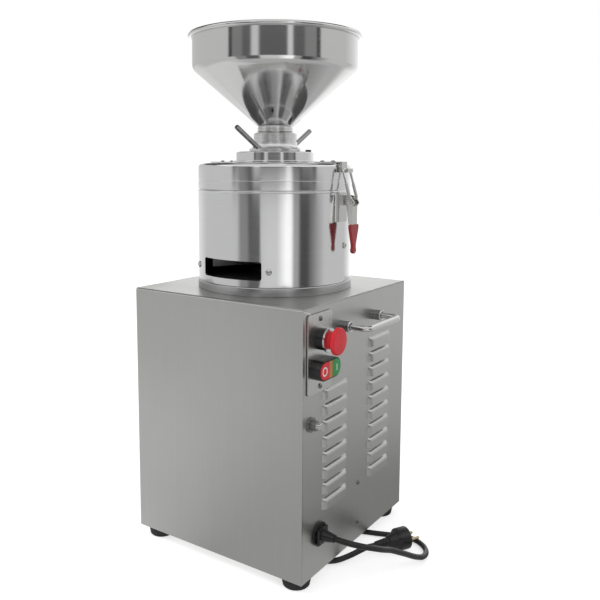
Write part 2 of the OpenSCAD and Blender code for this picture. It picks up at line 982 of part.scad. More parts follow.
module power_cord() {
    line = smooth_route();
    n = cord_sides;
    last = len(line) - 1;
    rings = [for (i = [0:last]) each ring_points(line, i)];
    walls = [for (i = [0:last - 1], k = [0:n - 1]) let (a = i * n + k, b = i * n + (k + 1) % n)
        each [[a, b, a + n], [b, b + n, a + n]]];
    ends = [[for (k = [0:n - 1]) n - 1 - k], [for (k = [0:n - 1]) last * n + k]];
    color("#141415")
        polyhedron(rings, concat(walls, ends));
}

// Round two-pin plug that lies on its side
module at_plug() {
    translate(plug_tail)
        rotate([0, 0, plug_angle])
            rotate([0, 90, 0])
                children();
}

module plug_body() {
    face = plug_tail_len + plug_len;
    color("#171718")
        at_plug()
            difference() {
                rotate_extrude()
                    polygon([
                        [0, 0], [cord_d / 2 + 1, 0], [plug_tail_r, plug_tail_len],
                        [plug_neck_r, plug_tail_len + 3], [plug_r - 4, plug_tail_len + 15],
                        [plug_r, plug_tail_len + 20], [plug_r, face - 1], [plug_r - 1, face], [0, face]
                    ]);
                plug_pin_places(face - 4)
                    cylinder(r = plug_pin_r + fit, h = 4 + cut);
            }
}

module plug_pin_places(z) {
    for (y = [-1, 1])
        translate([0, y * plug_pin_pitch / 2, z])
            children();
}

module plug_pins() {
    color("#c9b98a")
        at_plug()
            plug_pin_places(plug_tail_len + plug_len - 4) {
                cylinder(r = plug_pin_r, h = plug_pin_len + 2);
                translate([0, 0, plug_pin_len + 2])
                    cylinder(r1 = plug_pin_r, r2 = plug_pin_r * 0.6, h = 2);
            }
}

// Motor
module motor_housing() {
    color("#5d6a72")
        translate([0, 0, z_housing0]) {
            difference() {
                union() {
                    cylinder(r = motor_r, h = motor_len);
                    for (i = [0:motor_fins - 1])
                        rotate([0, 0, i * 360 / motor_fins])
                            translate([motor_r - cut, -motor_fin[1] / 2, 0])
                                cube([motor_fin[0] + cut, motor_fin[1], motor_len]);
                }
                translate([0, 0, -cut])
                    cylinder(r = motor_bore_r, h = motor_len + 2 * cut);
            }
            translate([0, 0, (motor_len - core_len) / 2])
                tube(motor_bore_r - fit, core_r + core_gap, core_len);
        }
}

module motor_end_shields() {
    color("#67747c") {
        difference() {
            union() {
                translate([0, 0, motor_z])
                    cylinder(r = motor_spigot_r, h = mount_plate_t + sheet_t + motor_spigot_h);
                translate([0, 0, motor_z - motor_flange_t])
                    cylinder(r = motor_flange_r, h = motor_flange_t);
                translate([0, 0, z_housing1])
                    cylinder(r = motor_r, h = shield_h);
            }
            translate([0, 0, z_housing1 - cut])
                cylinder(r = upper_bearing[0] + fit, h = upper_bearing[2] + cut);
            translate([0, 0, z_housing1])
                cylinder(r = upper_bearing[1] + 2, h = cabinet_h);
        }
        difference() {
            translate([0, 0, z_shield0])
                cylinder(r = motor_r - cowl_t - fit, h = low_shield_h);
            translate([0, 0, z_shield0 - cut])
                cylinder(r = lower_bearing[0] + fit, h = low_shield_h + 2 * cut);
        }
    }
}

module motor_bearings() {
    color("#c4c6c8") {
        translate([0, 0, z_housing1])
            tube(upper_bearing[0], upper_bearing[1] + fit, upper_bearing[2]);
        translate([0, 0, z_shield0])
            tube(lower_bearing[0], lower_bearing[1] + fit, lower_bearing[2]);
    }
}

module fan_cowl() {
    color("#4b565d")
        translate([0, 0, z_cowl0])
            difference() {
                cylinder(r = motor_r, h = cowl_h);
                translate([0, 0, cowl_t])
                    cylinder(r = motor_r - cowl_t, h = cowl_h);
                for (i = [0:cowl_slots - 1])
                    rotate([0, 0, i * 360 / cowl_slots])
                        translate([fan_hub_r, -cowl_slot[1] / 2, -cut])
                            cube([cowl_slot[0], cowl_slot[1], cowl_t + 2 * cut]);
            }
}

module cooling_fan() {
    color("#2c2f31")
        translate([0, 0, z_cowl0 + cowl_t + fan_above_grille])
            difference() {
                union() {
                    cylinder(r = fan_hub_r, h = fan_h);
                    for (i = [0:fan_blades - 1])
                        rotate([0, 0, i * 360 / fan_blades])
                            translate([fan_hub_r - 2, -fan_blade_t / 2, 2])
                                cube([fan_r - fan_hub_r + 2, fan_blade_t, fan_h - 4]);
                }
                translate([0, 0, -cut])
                    cylinder(r = lower_bearing[1] + fit, h = fan_h + 2 * cut);
            }
}

module motor_shaft() {
    color("#b9bcbe")
        rotate_extrude()
            polygon([
                [0, z_cowl0 + cowl_t + fan_above_grille / 2],
                [lower_bearing[1], z_cowl0 + cowl_t + fan_above_grille / 2],
                [lower_bearing[1], z_housing0 + gap], [core_shaft_r, z_housing0 + gap],
                [core_shaft_r, z_housing1 - gap], [upper_bearing[1], z_housing1 - gap],
                [upper_bearing[1], z_housing1 + upper_bearing[2] + gap],
                [shaft_r, z_housing1 + upper_bearing[2] + gap],
                [shaft_r, z_rotor_top - dish_d], [thread_r, z_rotor_top - dish_d],
                [thread_r, z_rotor_top - dish_d + thread_len], [0, z_rotor_top - dish_d + thread_len]
            ]);
}

module motor_core() {
    color("#84878a")
        translate([0, 0, z_housing0 + (motor_len - core_len) / 2])
            tube(core_r, core_shaft_r + fit, core_len);
}

module run_capacitor() {
    color("#3b4a63")
        translate([capacitor_at.x, capacitor_at.y, z_bottom + sheet_t])
            rotate_extrude()
                polygon([
                    [0, 0], [capacitor_r, 0], [capacitor_r, capacitor_h - 3],
                    [capacitor_r - 3, capacitor_h], [0, capacitor_h]
                ]);
}

// Drum and what turns in it
module base_ring() {
    r = drum_r + ring_proud;
    color("#a2a3a4")
        rotate_extrude()
            polygon([
                [motor_spigot_r + fit, z_top], [r, z_top], [r, z_drum - 2], [r - 2, z_drum],
                [motor_spigot_r + fit, z_drum]
            ]);
}

module drum() {
    slot_w = 2 * drum_r * sin(slot_angle);
    color("#c2c4c6")
        difference() {
            rotate_extrude()
                polygon([
                    [shaft_r + 3, z_drum], [drum_r, z_drum], [drum_r, z_lid - drum_chamfer],
                    [drum_r - drum_chamfer, z_lid],
                    [drum_bore_r + 1 + gasket_w, z_lid], [drum_bore_r + 1 + gasket_w, z_lid - gasket_h],
                    [drum_bore_r, z_lid - gasket_h], [drum_bore_r, z_floor],
                    [boss_r, z_floor], [boss_r - 4, z_floor + boss_h], [seal_r + fit, z_floor + boss_h],
                    [seal_r + fit, z_floor + boss_h - seal_h], [shaft_r + 3, z_floor + boss_h - seal_h]
                ]);
            translate([0, -drum_r / 2, z_floor + slot_lip + slot_h / 2])
                rotate([90, 0, 0])
                    linear_extrude(drum_r)
                        polygon(rounded_outline(slot_w, slot_h, slot_corner_r));
            drum_screw_places()
                screw_hole(len = drum_wall + 2);
        }
}

module drum_screw_places() {
    for (i = [0:len(drum_screw_turns) - 1])
        rotate([0, 0, drum_screw_turns[i]])
            translate([drum_r, 0, z_drum + drum_screw_up[i]])
                rotate([0, 90, 0])
                    children();
}

module shaft_seal() {
    color("#2a1d1a")
        translate([0, 0, z_floor + boss_h - seal_h])
            tube(seal_r, shaft_r + fit, seal_h);
}

// Three swept blades that push the ground food to the slot
module sweeper() {
    color("#b4b6b8")
        translate([0, 0, sweeper_z])
            difference() {
                union() {
                    cylinder(r = sweeper_hub_r, h = sweeper_h);
                    for (i = [0:sweeper_blades - 1])
                        rotate([0, 0, i * 360 / sweeper_blades])
                            intersection() {
                                translate([0, -sweeper_hub_r + sweeper_blade[0] / 2, 0])
                                    cube([sweeper_r, sweeper_blade[0], sweeper_blade[1]]);
                                cylinder(r = sweeper_r, h = sweeper_h);
                            }
                }
                translate([0, 0, -cut])
                    cylinder(r = shaft_r + fit, h = sweeper_h + 2 * cut);
            }
}

// Skewed grooves round a disc's face at Z = 0
module groove_set(skew) {
    for (i = [0:grooves - 1])
        rotate([0, 0, i * 360 / grooves])
            translate([eye_r, 0, 0])
                rotate([0, 0, skew])
                    translate([-groove_w, -groove_w / 2, -groove_d])
                        cube([disc_r, groove_w, 2 * groove_d]);
}

module rim_notches(h) {
    for (i = [0:rim_teeth - 1])
        rotate([0, 0, i * 360 / rim_teeth])
            translate([disc_r + rim_tooth_r / 2, 0, -cut])
                cylinder(r = rim_tooth_r, h = h + 2 * cut);
}

module rotor_disc() {
    color("#8d9092")
        difference() {
            rotate_extrude()
                polygon([
                    [shaft_r + fit, z_rotor], [disc_r, z_rotor], [disc_r, z_rotor_top],
                    [eye_r, z_rotor_top], [nut_seat_r, z_rotor_top - dish_d],
                    [shaft_r + fit, z_rotor_top - dish_d]
                ]);
            translate([0, 0, z_rotor_top])
                groove_set(groove_skew);
            translate([0, 0, z_rotor])
                rim_notches(rotor_t);
        }
}

module rotor_nut() {
    color("#bfc1c3")
        translate([0, 0, z_rotor_top - dish_d])
            difference() {
                union() {
                    cylinder(r = nut_r, h = nut_h / 2, $fn = 6);
                    cylinder(r1 = nut_r * 0.86, r2 = nut_r * 0.4, h = nut_h);
                }
                translate([0, 0, -cut])
                    cylinder(r = thread_r + fit, h = thread_len + gap + cut);
            }
}

module head_screws() {
    color("#4a4b4d") {
        drum_screw_places()
            translate([0, 0, 0.1])
                pan_screw(head_r = drum_head_r, head_h = drum_head_h, len = drum_wall - 1);
        for (turn = [0, 180])
            rotate([0, 0, turn])
                keeper_screw_places()
                    pan_screw(len = keeper_t + screw_len);
    }
}

module keeper_screw_places() {
    for (x = keeper_screw_in)
        translate([hook_in - x, 0, z_lid_top + keeper_t])
            children();
}

module lid() {
    bore = sleeve_r + fit;
    register_r = drum_bore_r - gap;
    hollow_r = register_r - register_w;
    z_roof = z_lid_top - lid_top_t;
    color("#c6c8ca")
        difference() {
            rotate_extrude()
                difference() {
                    union() {
                        polygon([
                            [bore, z_roof - lid_boss_h], [lid_boss_r, z_roof - lid_boss_h],
                            [lid_boss_r, z_roof], [hollow_r, z_roof],
                            [hollow_r, z_lid - register_h], [register_r, z_lid - register_h],
                            [register_r, z_lid],
                            [drum_r - drum_chamfer, z_lid], [drum_r, z_lid + drum_chamfer],
                            [drum_r, z_lid_top - lid_round], [drum_r - lid_round, z_lid_top - lid_round],
                            [drum_r - lid_round, z_lid_top], [bore, z_lid_top]
                        ]);
                        translate([drum_r - lid_round, z_lid_top - lid_round])
                            circle(lid_round);
                    }
                    translate([drum_r - lid_groove, z_lid + lid_band_h])
                        square(2 * lid_groove);
                }
            for (turn = [0, 180])
                rotate([0, 0, turn])
                    keeper_screw_places()
                        screw_hole(len = keeper_t + screw_len);
            flange_screw_places(z_pad_top)
                screw_hole(flange_screw_r, pad_t + screw_len);
        }
}

module lid_gasket() {
    color("#2b2b2d")
        translate([0, 0, z_lid - gasket_h])
            tube(drum_bore_r + 1 + gasket_w - fit, drum_bore_r, gasket_h);
}

// Upper disc on its threaded sleeve
module stator_sleeve() {
    color("#b9bbbd")
        translate([0, 0, z_stator_top])
            difference() {
                union() {
                    cylinder(r = sleeve_r, h = z_sleeve_top - z_stator_top);
                    cylinder(r = sleeve_tip_r, h = z_socket - gap - z_stator_top);
                    cylinder(r = sleeve_flange_r, h = sleeve_flange_t);
                }
                translate([0, 0, -cut])
                    cylinder(r = sleeve_bore_r, h = z_socket - z_stator_top + 2 * cut);
            }
}

module stator_disc() {
    color("#8d9092")
        difference() {
            rotate_extrude()
                polygon([
                    [eye_r, z_stator], [disc_r, z_stator], [disc_r, z_stator_top],
                    [sleeve_bore_r, z_stator_top], [sleeve_bore_r, z_stator_top - 2]
                ]);
            translate([0, 0, z_stator])
                groove_set(-groove_skew);
            translate([0, 0, z_stator])
                rim_notches(stator_t);
        }
}

// Fixed flange on the lid
module flange_screw_places(z, first = 0) {
    for (i = [first:3])
        rotate([0, 0, stop_screw_turn + i * 90])
            translate([flange_screw_pcd, 0, z])
                children();
}

module adjuster_flange() {
    bore = sleeve_r + fit;
    color("#bcbec0")
        difference() {
            rotate_extrude()
                polygon([
                    [bore, z_lid_top], [pad_r - 1, z_lid_top], [pad_r, z_lid_top + 1], [pad_r, z_pad_top],
                    [flange_r, z_pad_top], [flange_r, z_flange_top - 1], [flange_r - 1, z_flange_top],
                    [bore, z_flange_top]
                ]);
            flange_screw_places(z_flange_top)
                screw_hole(flange_screw_r, flange_h + pad_t);
            flange_screw_places(z_flange_top - stop_screw_h, 1)
                cylinder(r = flange_screw_head_r + gap, h = stop_screw_h + cut);
        }
}

module flange_screw(len) {
    cylinder(r = flange_screw_head_r, h = stop_screw_h);
    translate([0, 0, -len])
        cylinder(r = flange_screw_r, h = len + cut);
}

module flange_screws() {
    reach = flange_h + pad_t + screw_len;
    color("#232425") {
        rotate([0, 0, stop_screw_turn])
            translate([flange_screw_pcd, 0, z_flange_top])
                flange_screw(reach);
        flange_screw_places(z_flange_top - stop_screw_h, 1)
            flange_screw(reach - stop_screw_h);
    }
}

// Ring that sets the gap, with two rods to turn it by
module rod_places() {
    for (turn = [rod_turn, rod_turn + 180])
        rotate([0, 0, turn])
            translate([collar_r - 1, 0, z_collar + rod_seat_z])
                rotate([0, 90 - rod_rise, 0])
                    children();
}

module adjusting_ring() {
    bore = sleeve_r + thread_clear;
    foot = 5;
    color("#b6b8ba")
        difference() {
            rotate_extrude()
                polygon(concat(
                    [[bore, z_collar], [collar_r - 1, z_collar], [collar_r, z_collar + 1],
                     [collar_r, z_collar + foot]],
                    [for (a = [15:15:75])
                        [collar_r - (collar_r - collar_top_r) * sin(a),
                         z_collar + foot + (collar_h - foot - 2) * (1 - cos(a))]],
                    [[collar_top_r, z_collar_top - 2], [collar_top_r, z_collar_top], [bore, z_collar_top]]
                ));
            rod_places()
                translate([0, 0, -rod_seat_len])
                    cylinder(r = rod_r + fit, h = rod_len);
        }
}

module adjusting_rods() {
    color("#9c9ea0")
        rod_places()
            translate([0, 0, -rod_seat_len + fit]) {
                cylinder(r = rod_r, h = rod_seat_len + rod_len - 1);
                translate([0, 0, rod_seat_len + rod_len - 1])
                    cylinder(r1 = rod_r, r2 = rod_r - 1, h = 1);
            }
}

module lock_ring() {
    bore = sleeve_r + thread_clear;
    groove = 2.5;
    color("#b9bbbd")
        difference() {
            rotate_extrude()
                polygon([
                    [bore, z_lock], [lock_r - 1.5, z_lock], [lock_r - 1.5, z_lock + groove],
                    [lock_r, z_lock + groove], [lock_r, z_lock_top - 1], [lock_r - 1, z_lock_top],
                    [bore, z_lock_top]
                ]);
            for (i = [0:knurls - 1])
                rotate([0, 0, i * 360 / knurls])
                    translate([lock_r + knurl_r / 2, 0, z_lock + groove])
                        cylinder(r = knurl_r, h = lock_h, $fn = 16);
        }
}

// Spun hopper with a rolled rim and a beaded neck
module hopper() {
    slope = (hopper_r - neck_r) / hopper_cone_h;
    inset = hopper_wall * sqrt(1 + slope * slope);
    socket_r = sleeve_tip_r + fit;
    throat_r = sleeve_bore_r;
    z_throat = max(z_cone - (neck_r - inset - throat_r) / slope, z_socket + 1.5);
    z_corner = z_band + (inset - hopper_wall) / slope;
    bead_r = 1.6;
    color("#d4d6d8")
        rotate_extrude() {
            polygon([
                [throat_r, z_socket], [socket_r, z_socket], [socket_r, z_seat],
                [neck_r, z_seat], [neck_r, z_cone], [hopper_r, z_band], [hopper_r, z_rim],
                [hopper_r - hopper_wall, z_rim], [hopper_r - hopper_wall, z_corner], [throat_r, z_throat]
            ]);
            for (z = [0.3, 0.75])
                translate([neck_r, z_seat + z * neck_h])
                    circle(bead_r);
            translate([hopper_r + hopper_rim_r - hopper_wall / 2, z_rim - hopper_rim_r + 0.5])
                circle(hopper_rim_r);
        }
}

// Toggle latches: keeper on the lid, base on the drum, lever with grip, and wire bail
module keeper() {
    across(tongue_w)
        polygon([
            [hook_in - keeper_len, z_lid_top], [hook_in, z_lid_top], [hook_in, trough_z - keeper_t],
            [hook_in + 2 * keeper_t + trough_w, trough_z - keeper_t],
            [hook_in + 2 * keeper_t + trough_w, trough_z + lip_h],
            [hook_in + keeper_t + trough_w, trough_z + lip_h], [hook_in + keeper_t + trough_w, trough_z],
            [hook_in + keeper_t, trough_z], [hook_in + keeper_t, z_lid_top + keeper_t],
            [hook_in - keeper_len, z_lid_top + keeper_t]
        ]);
}

module latch_keepers() {
    color("#c9cbcd")
        for (turn = [0, 180])
            rotate([0, 0, turn])
                difference() {
                    keeper();
                    keeper_screw_places()
                        screw_hole(len = keeper_t);
                }
}

// Repeat a sheet on both sides of the latch's middle plane
module both_cheeks(inside, t) {
    for (y = [-1, 1])
        translate([0, y * (inside + t / 2), 0])
            across(t)
                children();
}

module latch_base() {
    low = pivot.y + ear_r + 4 - base_h;
    translate([0, 0, low])
        linear_extrude(base_h)
            difference() {
                translate([drum_r - 3, -base_w / 2])
                    square([base_t + 3, base_w]);
                circle(drum_r + fit, $fn = 360);
            }
    both_cheeks(ear_in, ear_t)
        difference() {
            union() {
                translate([drum_r + base_t - cut, pivot.y - 2 * ear_r])
                    square([pivot.x - drum_r - base_t + cut, 3 * ear_r]);
                translate(pivot)
                    circle(ear_r);
            }
            translate(pivot)
                circle(pin_r + fit);
        }
    translate([pivot.x, 0, pivot.y])
        rotate([90, 0, 0])
            cylinder(r = pin_r, h = 2 * (flange_in + lever_t), center = true);
}

module latch_bases() {
    color("#b0b2b4")
        for (turn = [0, 180])
            rotate([0, 0, turn])
                latch_base();
}

module lever() {
    web = [bail_pin.x + 1 - lever_t, bail_pin.y - wire_r - 4];
    end_z = pivot.y - lever_len;
    difference() {
        union() {
            both_cheeks(flange_in, lever_t) {
                translate(pivot)
                    circle(pin_r + 2.5);
                translate(bail_pin)
                    circle(wire_r + 2.5);
                polygon([
                    pivot + [-2, 4.5], pivot + [3, 4.3], bail_pin + [3.5, 2.8], bail_pin + [4.3, -1],
                    [web.x + lever_t, web.y], [web.x + lever_t, end_z], [web.x - 5, end_z],
                    pivot + [-2, -16], pivot + [-4.5, -1]
                ]);
            }
            across(2 * (flange_in + lever_t))
                translate([web.x, end_z])
                    square([lever_t, web.y - end_z]);
        }
        translate([pivot.x, 0, pivot.y])
            rotate([90, 0, 0])
                cylinder(r = pin_r + fit, h = base_w, center = true);
        translate([bail_pin.x, 0, bail_pin.y])
            rotate([90, 0, 0])
                cylinder(r = wire_r + fit, h = base_w, center = true);
    }
}

module right_lever() {
    color("#cfd1d3")
        lever();
}

module left_lever() {
    color("#cfd1d3")
        to_left()
            lever();
}

// Flat grip that narrows to a round tip
module grip() {
    neck_z = grip_tip_r * 2.4;
    out = bail_pin.x + 1 - grip_t + 1;
    translate([out, 0, pivot.y - lever_len - grip_len])
        rotate([90, 0, 90])
            linear_extrude(grip_t) {
                translate([0, grip_tip_r])
                    circle(grip_tip_r);
                polygon([
                    [-grip_tip_r * 0.8, grip_tip_r], [grip_tip_r * 0.8, grip_tip_r],
                    [grip_tip_r * 0.8, neck_z], [grip_w / 2, grip_len - 6], [grip_w / 2, grip_len],
                    [-grip_w / 2, grip_len], [-grip_w / 2, grip_len - 6], [-grip_tip_r * 0.8, neck_z]
                ]);
            }
}

module right_grip() {
    color("#96282a")
        grip();
}

module left_grip() {
    color("#96282a")
        to_left()
            grip();
}

// Wire bail: two legs with spring sleeves, a bar at the top and two turned-in ends
module bail() {
    run = bail_bar - bail_pin;
    lean = atan2(run.x, run.y);
    for (turn = [0, 1])
        mirror([0, turn, 0])
            translate([bail_pin.x, bail_w / 2, bail_pin.y]) {
                rotate([0, lean, 0]) {
                    cylinder(r = wire_r, h = norm(run));
                    translate([0, 0, spring_at[0]])
                        cylinder(r = spring_r, h = spring_at[1] - spring_at[0]);
                }
                sphere(knuckle_r);
                rotate([90, 0, 0])
                    cylinder(r = wire_r, h = bail_w / 2 - flange_in);
            }
    translate([bail_bar.x, 0, bail_bar.y]) {
        rotate([90, 0, 0])
            cylinder(r = wire_r, h = bail_w, center = true);
        for (y = [-1, 1])
            translate([0, y * bail_w / 2, 0])
                sphere(knuckle_r);
    }
}

module right_bail() {
    color("#c4c6c8")
        bail();
}

module left_bail() {
    color("#c4c6c8")
        to_left()
            bail();
}

cabinet_wrap();
right_side_panel();
left_side_panel();
base_plate();
mounting_plate();
rubber_feet();
foot_screws();
right_handle();
left_handle();
handle_ferrules();
panel_screws();
control_gasket();
control_plate();
estop_body();
estop_ring();
estop_mushroom();
twin_switch_body();
pilot_lens();
stop_button();
start_button();
reset_bezel();
reset_button();
cable_gland();
power_cord();
plug_body();
plug_pins();
motor_housing();
motor_end_shields();
motor_bearings();
fan_cowl();
cooling_fan();
motor_shaft();
motor_core();
run_capacitor();
base_ring();
drum();
shaft_seal();
sweeper();
rotor_disc();
rotor_nut();
head_screws();
lid();
lid_gasket();
stator_sleeve();
stator_disc();
adjuster_flange();
flange_screws();
adjusting_ring();
adjusting_rods();
lock_ring();
hopper();
latch_keepers();
latch_bases();
right_lever();
left_lever();
right_grip();
left_grip();
right_bail();
left_bail();
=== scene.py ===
import json
import math

import bmesh
import bpy
from bpy.props import FloatProperty, FloatVectorProperty, IntProperty, PointerProperty
from mathutils import Matrix, Vector


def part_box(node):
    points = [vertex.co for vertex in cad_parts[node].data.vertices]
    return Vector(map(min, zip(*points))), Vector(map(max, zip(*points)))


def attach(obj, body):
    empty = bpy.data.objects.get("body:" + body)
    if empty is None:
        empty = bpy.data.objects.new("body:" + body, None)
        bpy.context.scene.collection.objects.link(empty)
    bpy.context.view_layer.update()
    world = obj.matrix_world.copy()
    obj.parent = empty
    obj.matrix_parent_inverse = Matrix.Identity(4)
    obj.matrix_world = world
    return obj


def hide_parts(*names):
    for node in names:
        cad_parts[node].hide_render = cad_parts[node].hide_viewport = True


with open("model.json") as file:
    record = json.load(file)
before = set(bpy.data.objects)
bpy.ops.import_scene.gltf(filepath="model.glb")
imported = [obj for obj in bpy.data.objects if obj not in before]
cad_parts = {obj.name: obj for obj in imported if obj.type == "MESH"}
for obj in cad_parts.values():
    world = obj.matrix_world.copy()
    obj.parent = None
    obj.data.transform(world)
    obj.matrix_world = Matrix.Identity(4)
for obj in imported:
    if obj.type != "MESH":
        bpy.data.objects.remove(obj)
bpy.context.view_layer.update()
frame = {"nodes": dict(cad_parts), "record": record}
NODES = frame["nodes"]
BODY_OF = {n: b for b, names in frame["record"]["behaviour"]["bodies"].items() for n in names}
MM = 0.001
UP = Vector((0.0, 0.0, 1.0))
WHITE = (1.0, 1.0, 1.0, 1.0)

bl_info = {
    "name": "Colloid mill",
    "version": (1, 0, 0),
    "blender": (4, 5, 0),
    "location": "View3D > Sidebar > Mill",
    "description": "Dresses the packed colloid mill with its finishes, cord, screws, springs and stage",
    "category": "Object",
}


# Sizes, colours and light that a user would change


def length(name, description, default):
    return FloatProperty(name=name, description=description, default=default, min=0.0, precision=5, unit="LENGTH")


def number(name, description, default, low, high):
    return IntProperty(name=name, description=description, default=default, min=low, max=high)


def amount(name, description, default, subtype="NONE", unit="NONE"):
    return FloatProperty(name=name, description=description, default=default, min=0.0, subtype=subtype, unit=unit)


def colour(name, description, default):
    return FloatVectorProperty(name=name, description=description, default=default, size=3, min=0.0, max=1.0,
                               subtype="COLOR")


class MillSizes(bpy.types.PropertyGroup):
    """Sizes of the pieces that are made here."""

    cord_diameter: length("Cord diameter", "Outer diameter of the mains cord", 0.009)
    cord_sides: number("Cord sides", "Faces round the mains cord", 20, 8, 48)
    turned_sides: number("Turned sides", "Faces round the hopper and the drum's bead", 256, 64, 512)
    hopper_bend: length("Hopper bend", "Radius of the bend between the hopper's cone and band", 0.020)
    hopper_rim: length("Hopper rim", "Radius of the hopper's rolled rim", 0.0035)
    drum_bead: length("Drum bead", "How far the bead round the drum's mouth stands out", 0.0013)
    screw_head: length("Screw head", "Radius of a pan head screw", 0.004)
    screw_rise: length("Screw rise", "Height of a pan head screw", 0.0024)
    cap_head: length("Cap screw head", "Radius of a socket cap screw on the flange", 0.005)
    cap_rise: length("Cap screw rise", "Height of a socket cap screw on the flange", 0.004)
    wire: length("Bail wire", "Radius of a latch's bail wire", 0.002)
    spring_wire: length("Spring wire", "Radius of the wire of a bail's spring", 0.0005)
    spring_turns: number("Spring turns", "Turns of a bail's spring", 18, 3, 40)
    rib: length("Plug rib", "Thickness of a rib on the plug's bend relief", 0.0009)


class MillColours(bpy.types.PropertyGroup):
    """Base colours of the finishes."""

    steel: colour("Brushed steel", "Cabinet and side panels", (0.57, 0.57, 0.555))
    aluminium: colour("Turned aluminium", "Drum, lid and adjuster", (0.80, 0.80, 0.805))
    polished: colour("Polished steel", "Hopper and handles", (0.72, 0.72, 0.715))
    zinc: colour("Zinc plate", "Latches and screws", (0.66, 0.655, 0.64))
    dark: colour("Dark metal", "Cap screws", (0.10, 0.10, 0.105))
    grey: colour("Grey metal", "Ferrules and reset bezel", (0.30, 0.30, 0.305))
    rubber: colour("Rubber", "Feet, seals and cord", (0.018, 0.018, 0.019))
    plastic: colour("Black plastic", "Switch bodies, gland and plug", (0.010, 0.010, 0.011))
    red: colour("Red plastic", "Emergency stop and stop key", (0.66, 0.010, 0.022))
    green: colour("Green plastic", "Start key", (0.014, 0.27, 0.060))
    amber: colour("Amber lens", "Pilot lens between the keys", (0.62, 0.20, 0.025))
    grip: colour("Grip plastic", "Grips of the latch levers", (0.33, 0.018, 0.022))
    brass: colour("Plug pins", "Plated brass of the plug's pins", (0.76, 0.66, 0.44))
    paint: colour("Motor paint", "Hammered paint of the motor", (0.10, 0.16, 0.20))
    stone: colour("Grinding discs", "Ground cast metal of the discs", (0.30, 0.30, 0.30))
    white: colour("White print", "Marks on the keys", (0.80, 0.80, 0.78))


class MillStage(bpy.types.PropertyGroup):
    """Floor, lamps, reflecting cards and camera."""

    floor_size: length("Floor size", "Side of the floor", 16.0)
    card_radius: length("Card radius", "Radius of the ring of reflecting cards", 2.3)
    card_height: length("Card height", "Height of the ring of reflecting cards", 2.4)
    room: amount("Room light", "Level of the diffuse light in the room", 0.55)
    key: amount("Key lamp", "Power of the lamp over the front left", 16.0, "POWER", "POWER")
    fill: amount("Fill lamp", "Power of the lamp on the right", 7.0, "POWER", "POWER")
    lens: amount("Lens", "Focal length of the camera", 43.10, "DISTANCE_CAMERA")


# Node helpers


def put(tree, kind, inputs=None, **attributes):
    """Add a node, set its attributes, and set or link its inputs by name or place."""
    node = tree.nodes.new(kind)
    for name, value in attributes.items():
        setattr(node, name, value)
    for name, value in (inputs or {}).items():
        if isinstance(value, bpy.types.NodeSocket):
            tree.links.new(value, node.inputs[name])
        else:
            node.inputs[name].default_value = value
    return node


def calc(tree, operation, a, b=0.5, clamp=False):
    return put(tree, "ShaderNodeMath", {0: a, 1: b}, operation=operation, use_clamp=clamp).outputs[0]


def scaled(tree, value, factor):
    return calc(tree, "MULTIPLY", value, factor)


def vector_calc(tree, operation, a, b=(0.0, 0.0, 0.0)):
    node = put(tree, "ShaderNodeVectorMath", {0: a, 1: b}, operation=operation)
    return node.outputs["Value" if operation in ("LENGTH", "DOT_PRODUCT") else "Vector"]


def xyz(tree, x=0.0, y=0.0, z=0.0):
    return put(tree, "ShaderNodeCombineXYZ", {0: x, 1: y, 2: z}).outputs[0]


def axes(tree, vector):
    return put(tree, "ShaderNodeSeparateXYZ", {0: vector}).outputs


def spread(tree, value, low, high, to_low=0.0, to_high=1.0):
    inputs = {"Value": value, "From Min": low, "From Max": high, "To Min": to_low, "To Max": to_high}
    return put(tree, "ShaderNodeMapRange", inputs).outputs[0]


def noise(tree, vector, scale, detail, roughness=0.5, distortion=0.0):
    return put(tree, "ShaderNodeTexNoise", {"Vector": vector, "Scale": scale, "Detail": detail,
                                            "Roughness": roughness, "Distortion": distortion}).outputs[0]


def cells(tree, vector, scale, **attributes):
    return put(tree, "ShaderNodeTexVoronoi", {"Vector": vector, "Scale": scale}, **attributes).outputs["Distance"]


def tinted(tree, factor, a, b):
    """Mix of two colours, each a socket or a plain colour."""
    a, b = (c if isinstance(c, bpy.types.NodeSocket) else (*c[:3], 1.0) for c in (a, b))
    return put(tree, "ShaderNodeMix", {0: factor, 6: a, 7: b}, data_type="RGBA").outputs[2]


def shade(base, factor):
    return tuple(min(1.0, c * factor) for c in base)


def group(kind, name, inputs, outputs):
    """Start a node group with sockets as {name: kind}; returns its tree, what it is given and what it makes."""
    tree = bpy.data.node_groups.new(name, kind + "NodeTree")
    for direction, sockets in (("INPUT", inputs), ("OUTPUT", outputs)):
        for socket, socket_kind in sockets.items():
            tree.interface.new_socket(socket, in_out=direction, socket_type="NodeSocket" + socket_kind)
    return tree, tree.nodes.new("NodeGroupInput").outputs, tree.nodes.new("NodeGroupOutput").inputs


# Shader groups for effects that several finishes share

GROUPS = {}


def effect(name, setting, outputs, kind="Float"):
    """Start a shader group with a vector, one setting and float outputs."""
    made = group("Shader", name, {"Vector": "Vector", setting: kind}, {output: "Float" for output in outputs})
    GROUPS[name] = made[0]
    return made


def use(tree, name, **inputs):
    """Add a shared effect; returns its outputs."""
    return put(tree, "ShaderNodeGroup", {k.title(): v for k, v in inputs.items()}, node_tree=GROUPS[name]).outputs


def grain_lines():
    """Fine drawn-out lines and broad streaks along one direction."""
    tree, given, made = effect("grain_lines", "Stretch", ("Lines", "Streaks"), "Vector")
    fine = vector_calc(tree, "MULTIPLY", given["Vector"], given["Stretch"])
    broad = vector_calc(tree, "MULTIPLY", fine, (0.14, 0.14, 0.14))
    tree.links.new(spread(tree, noise(tree, fine, 1.0, 3.0, 0.6), 0.3, 0.7), made["Lines"])
    tree.links.new(spread(tree, noise(tree, broad, 1.0, 2.0), 0.3, 0.7), made["Streaks"])


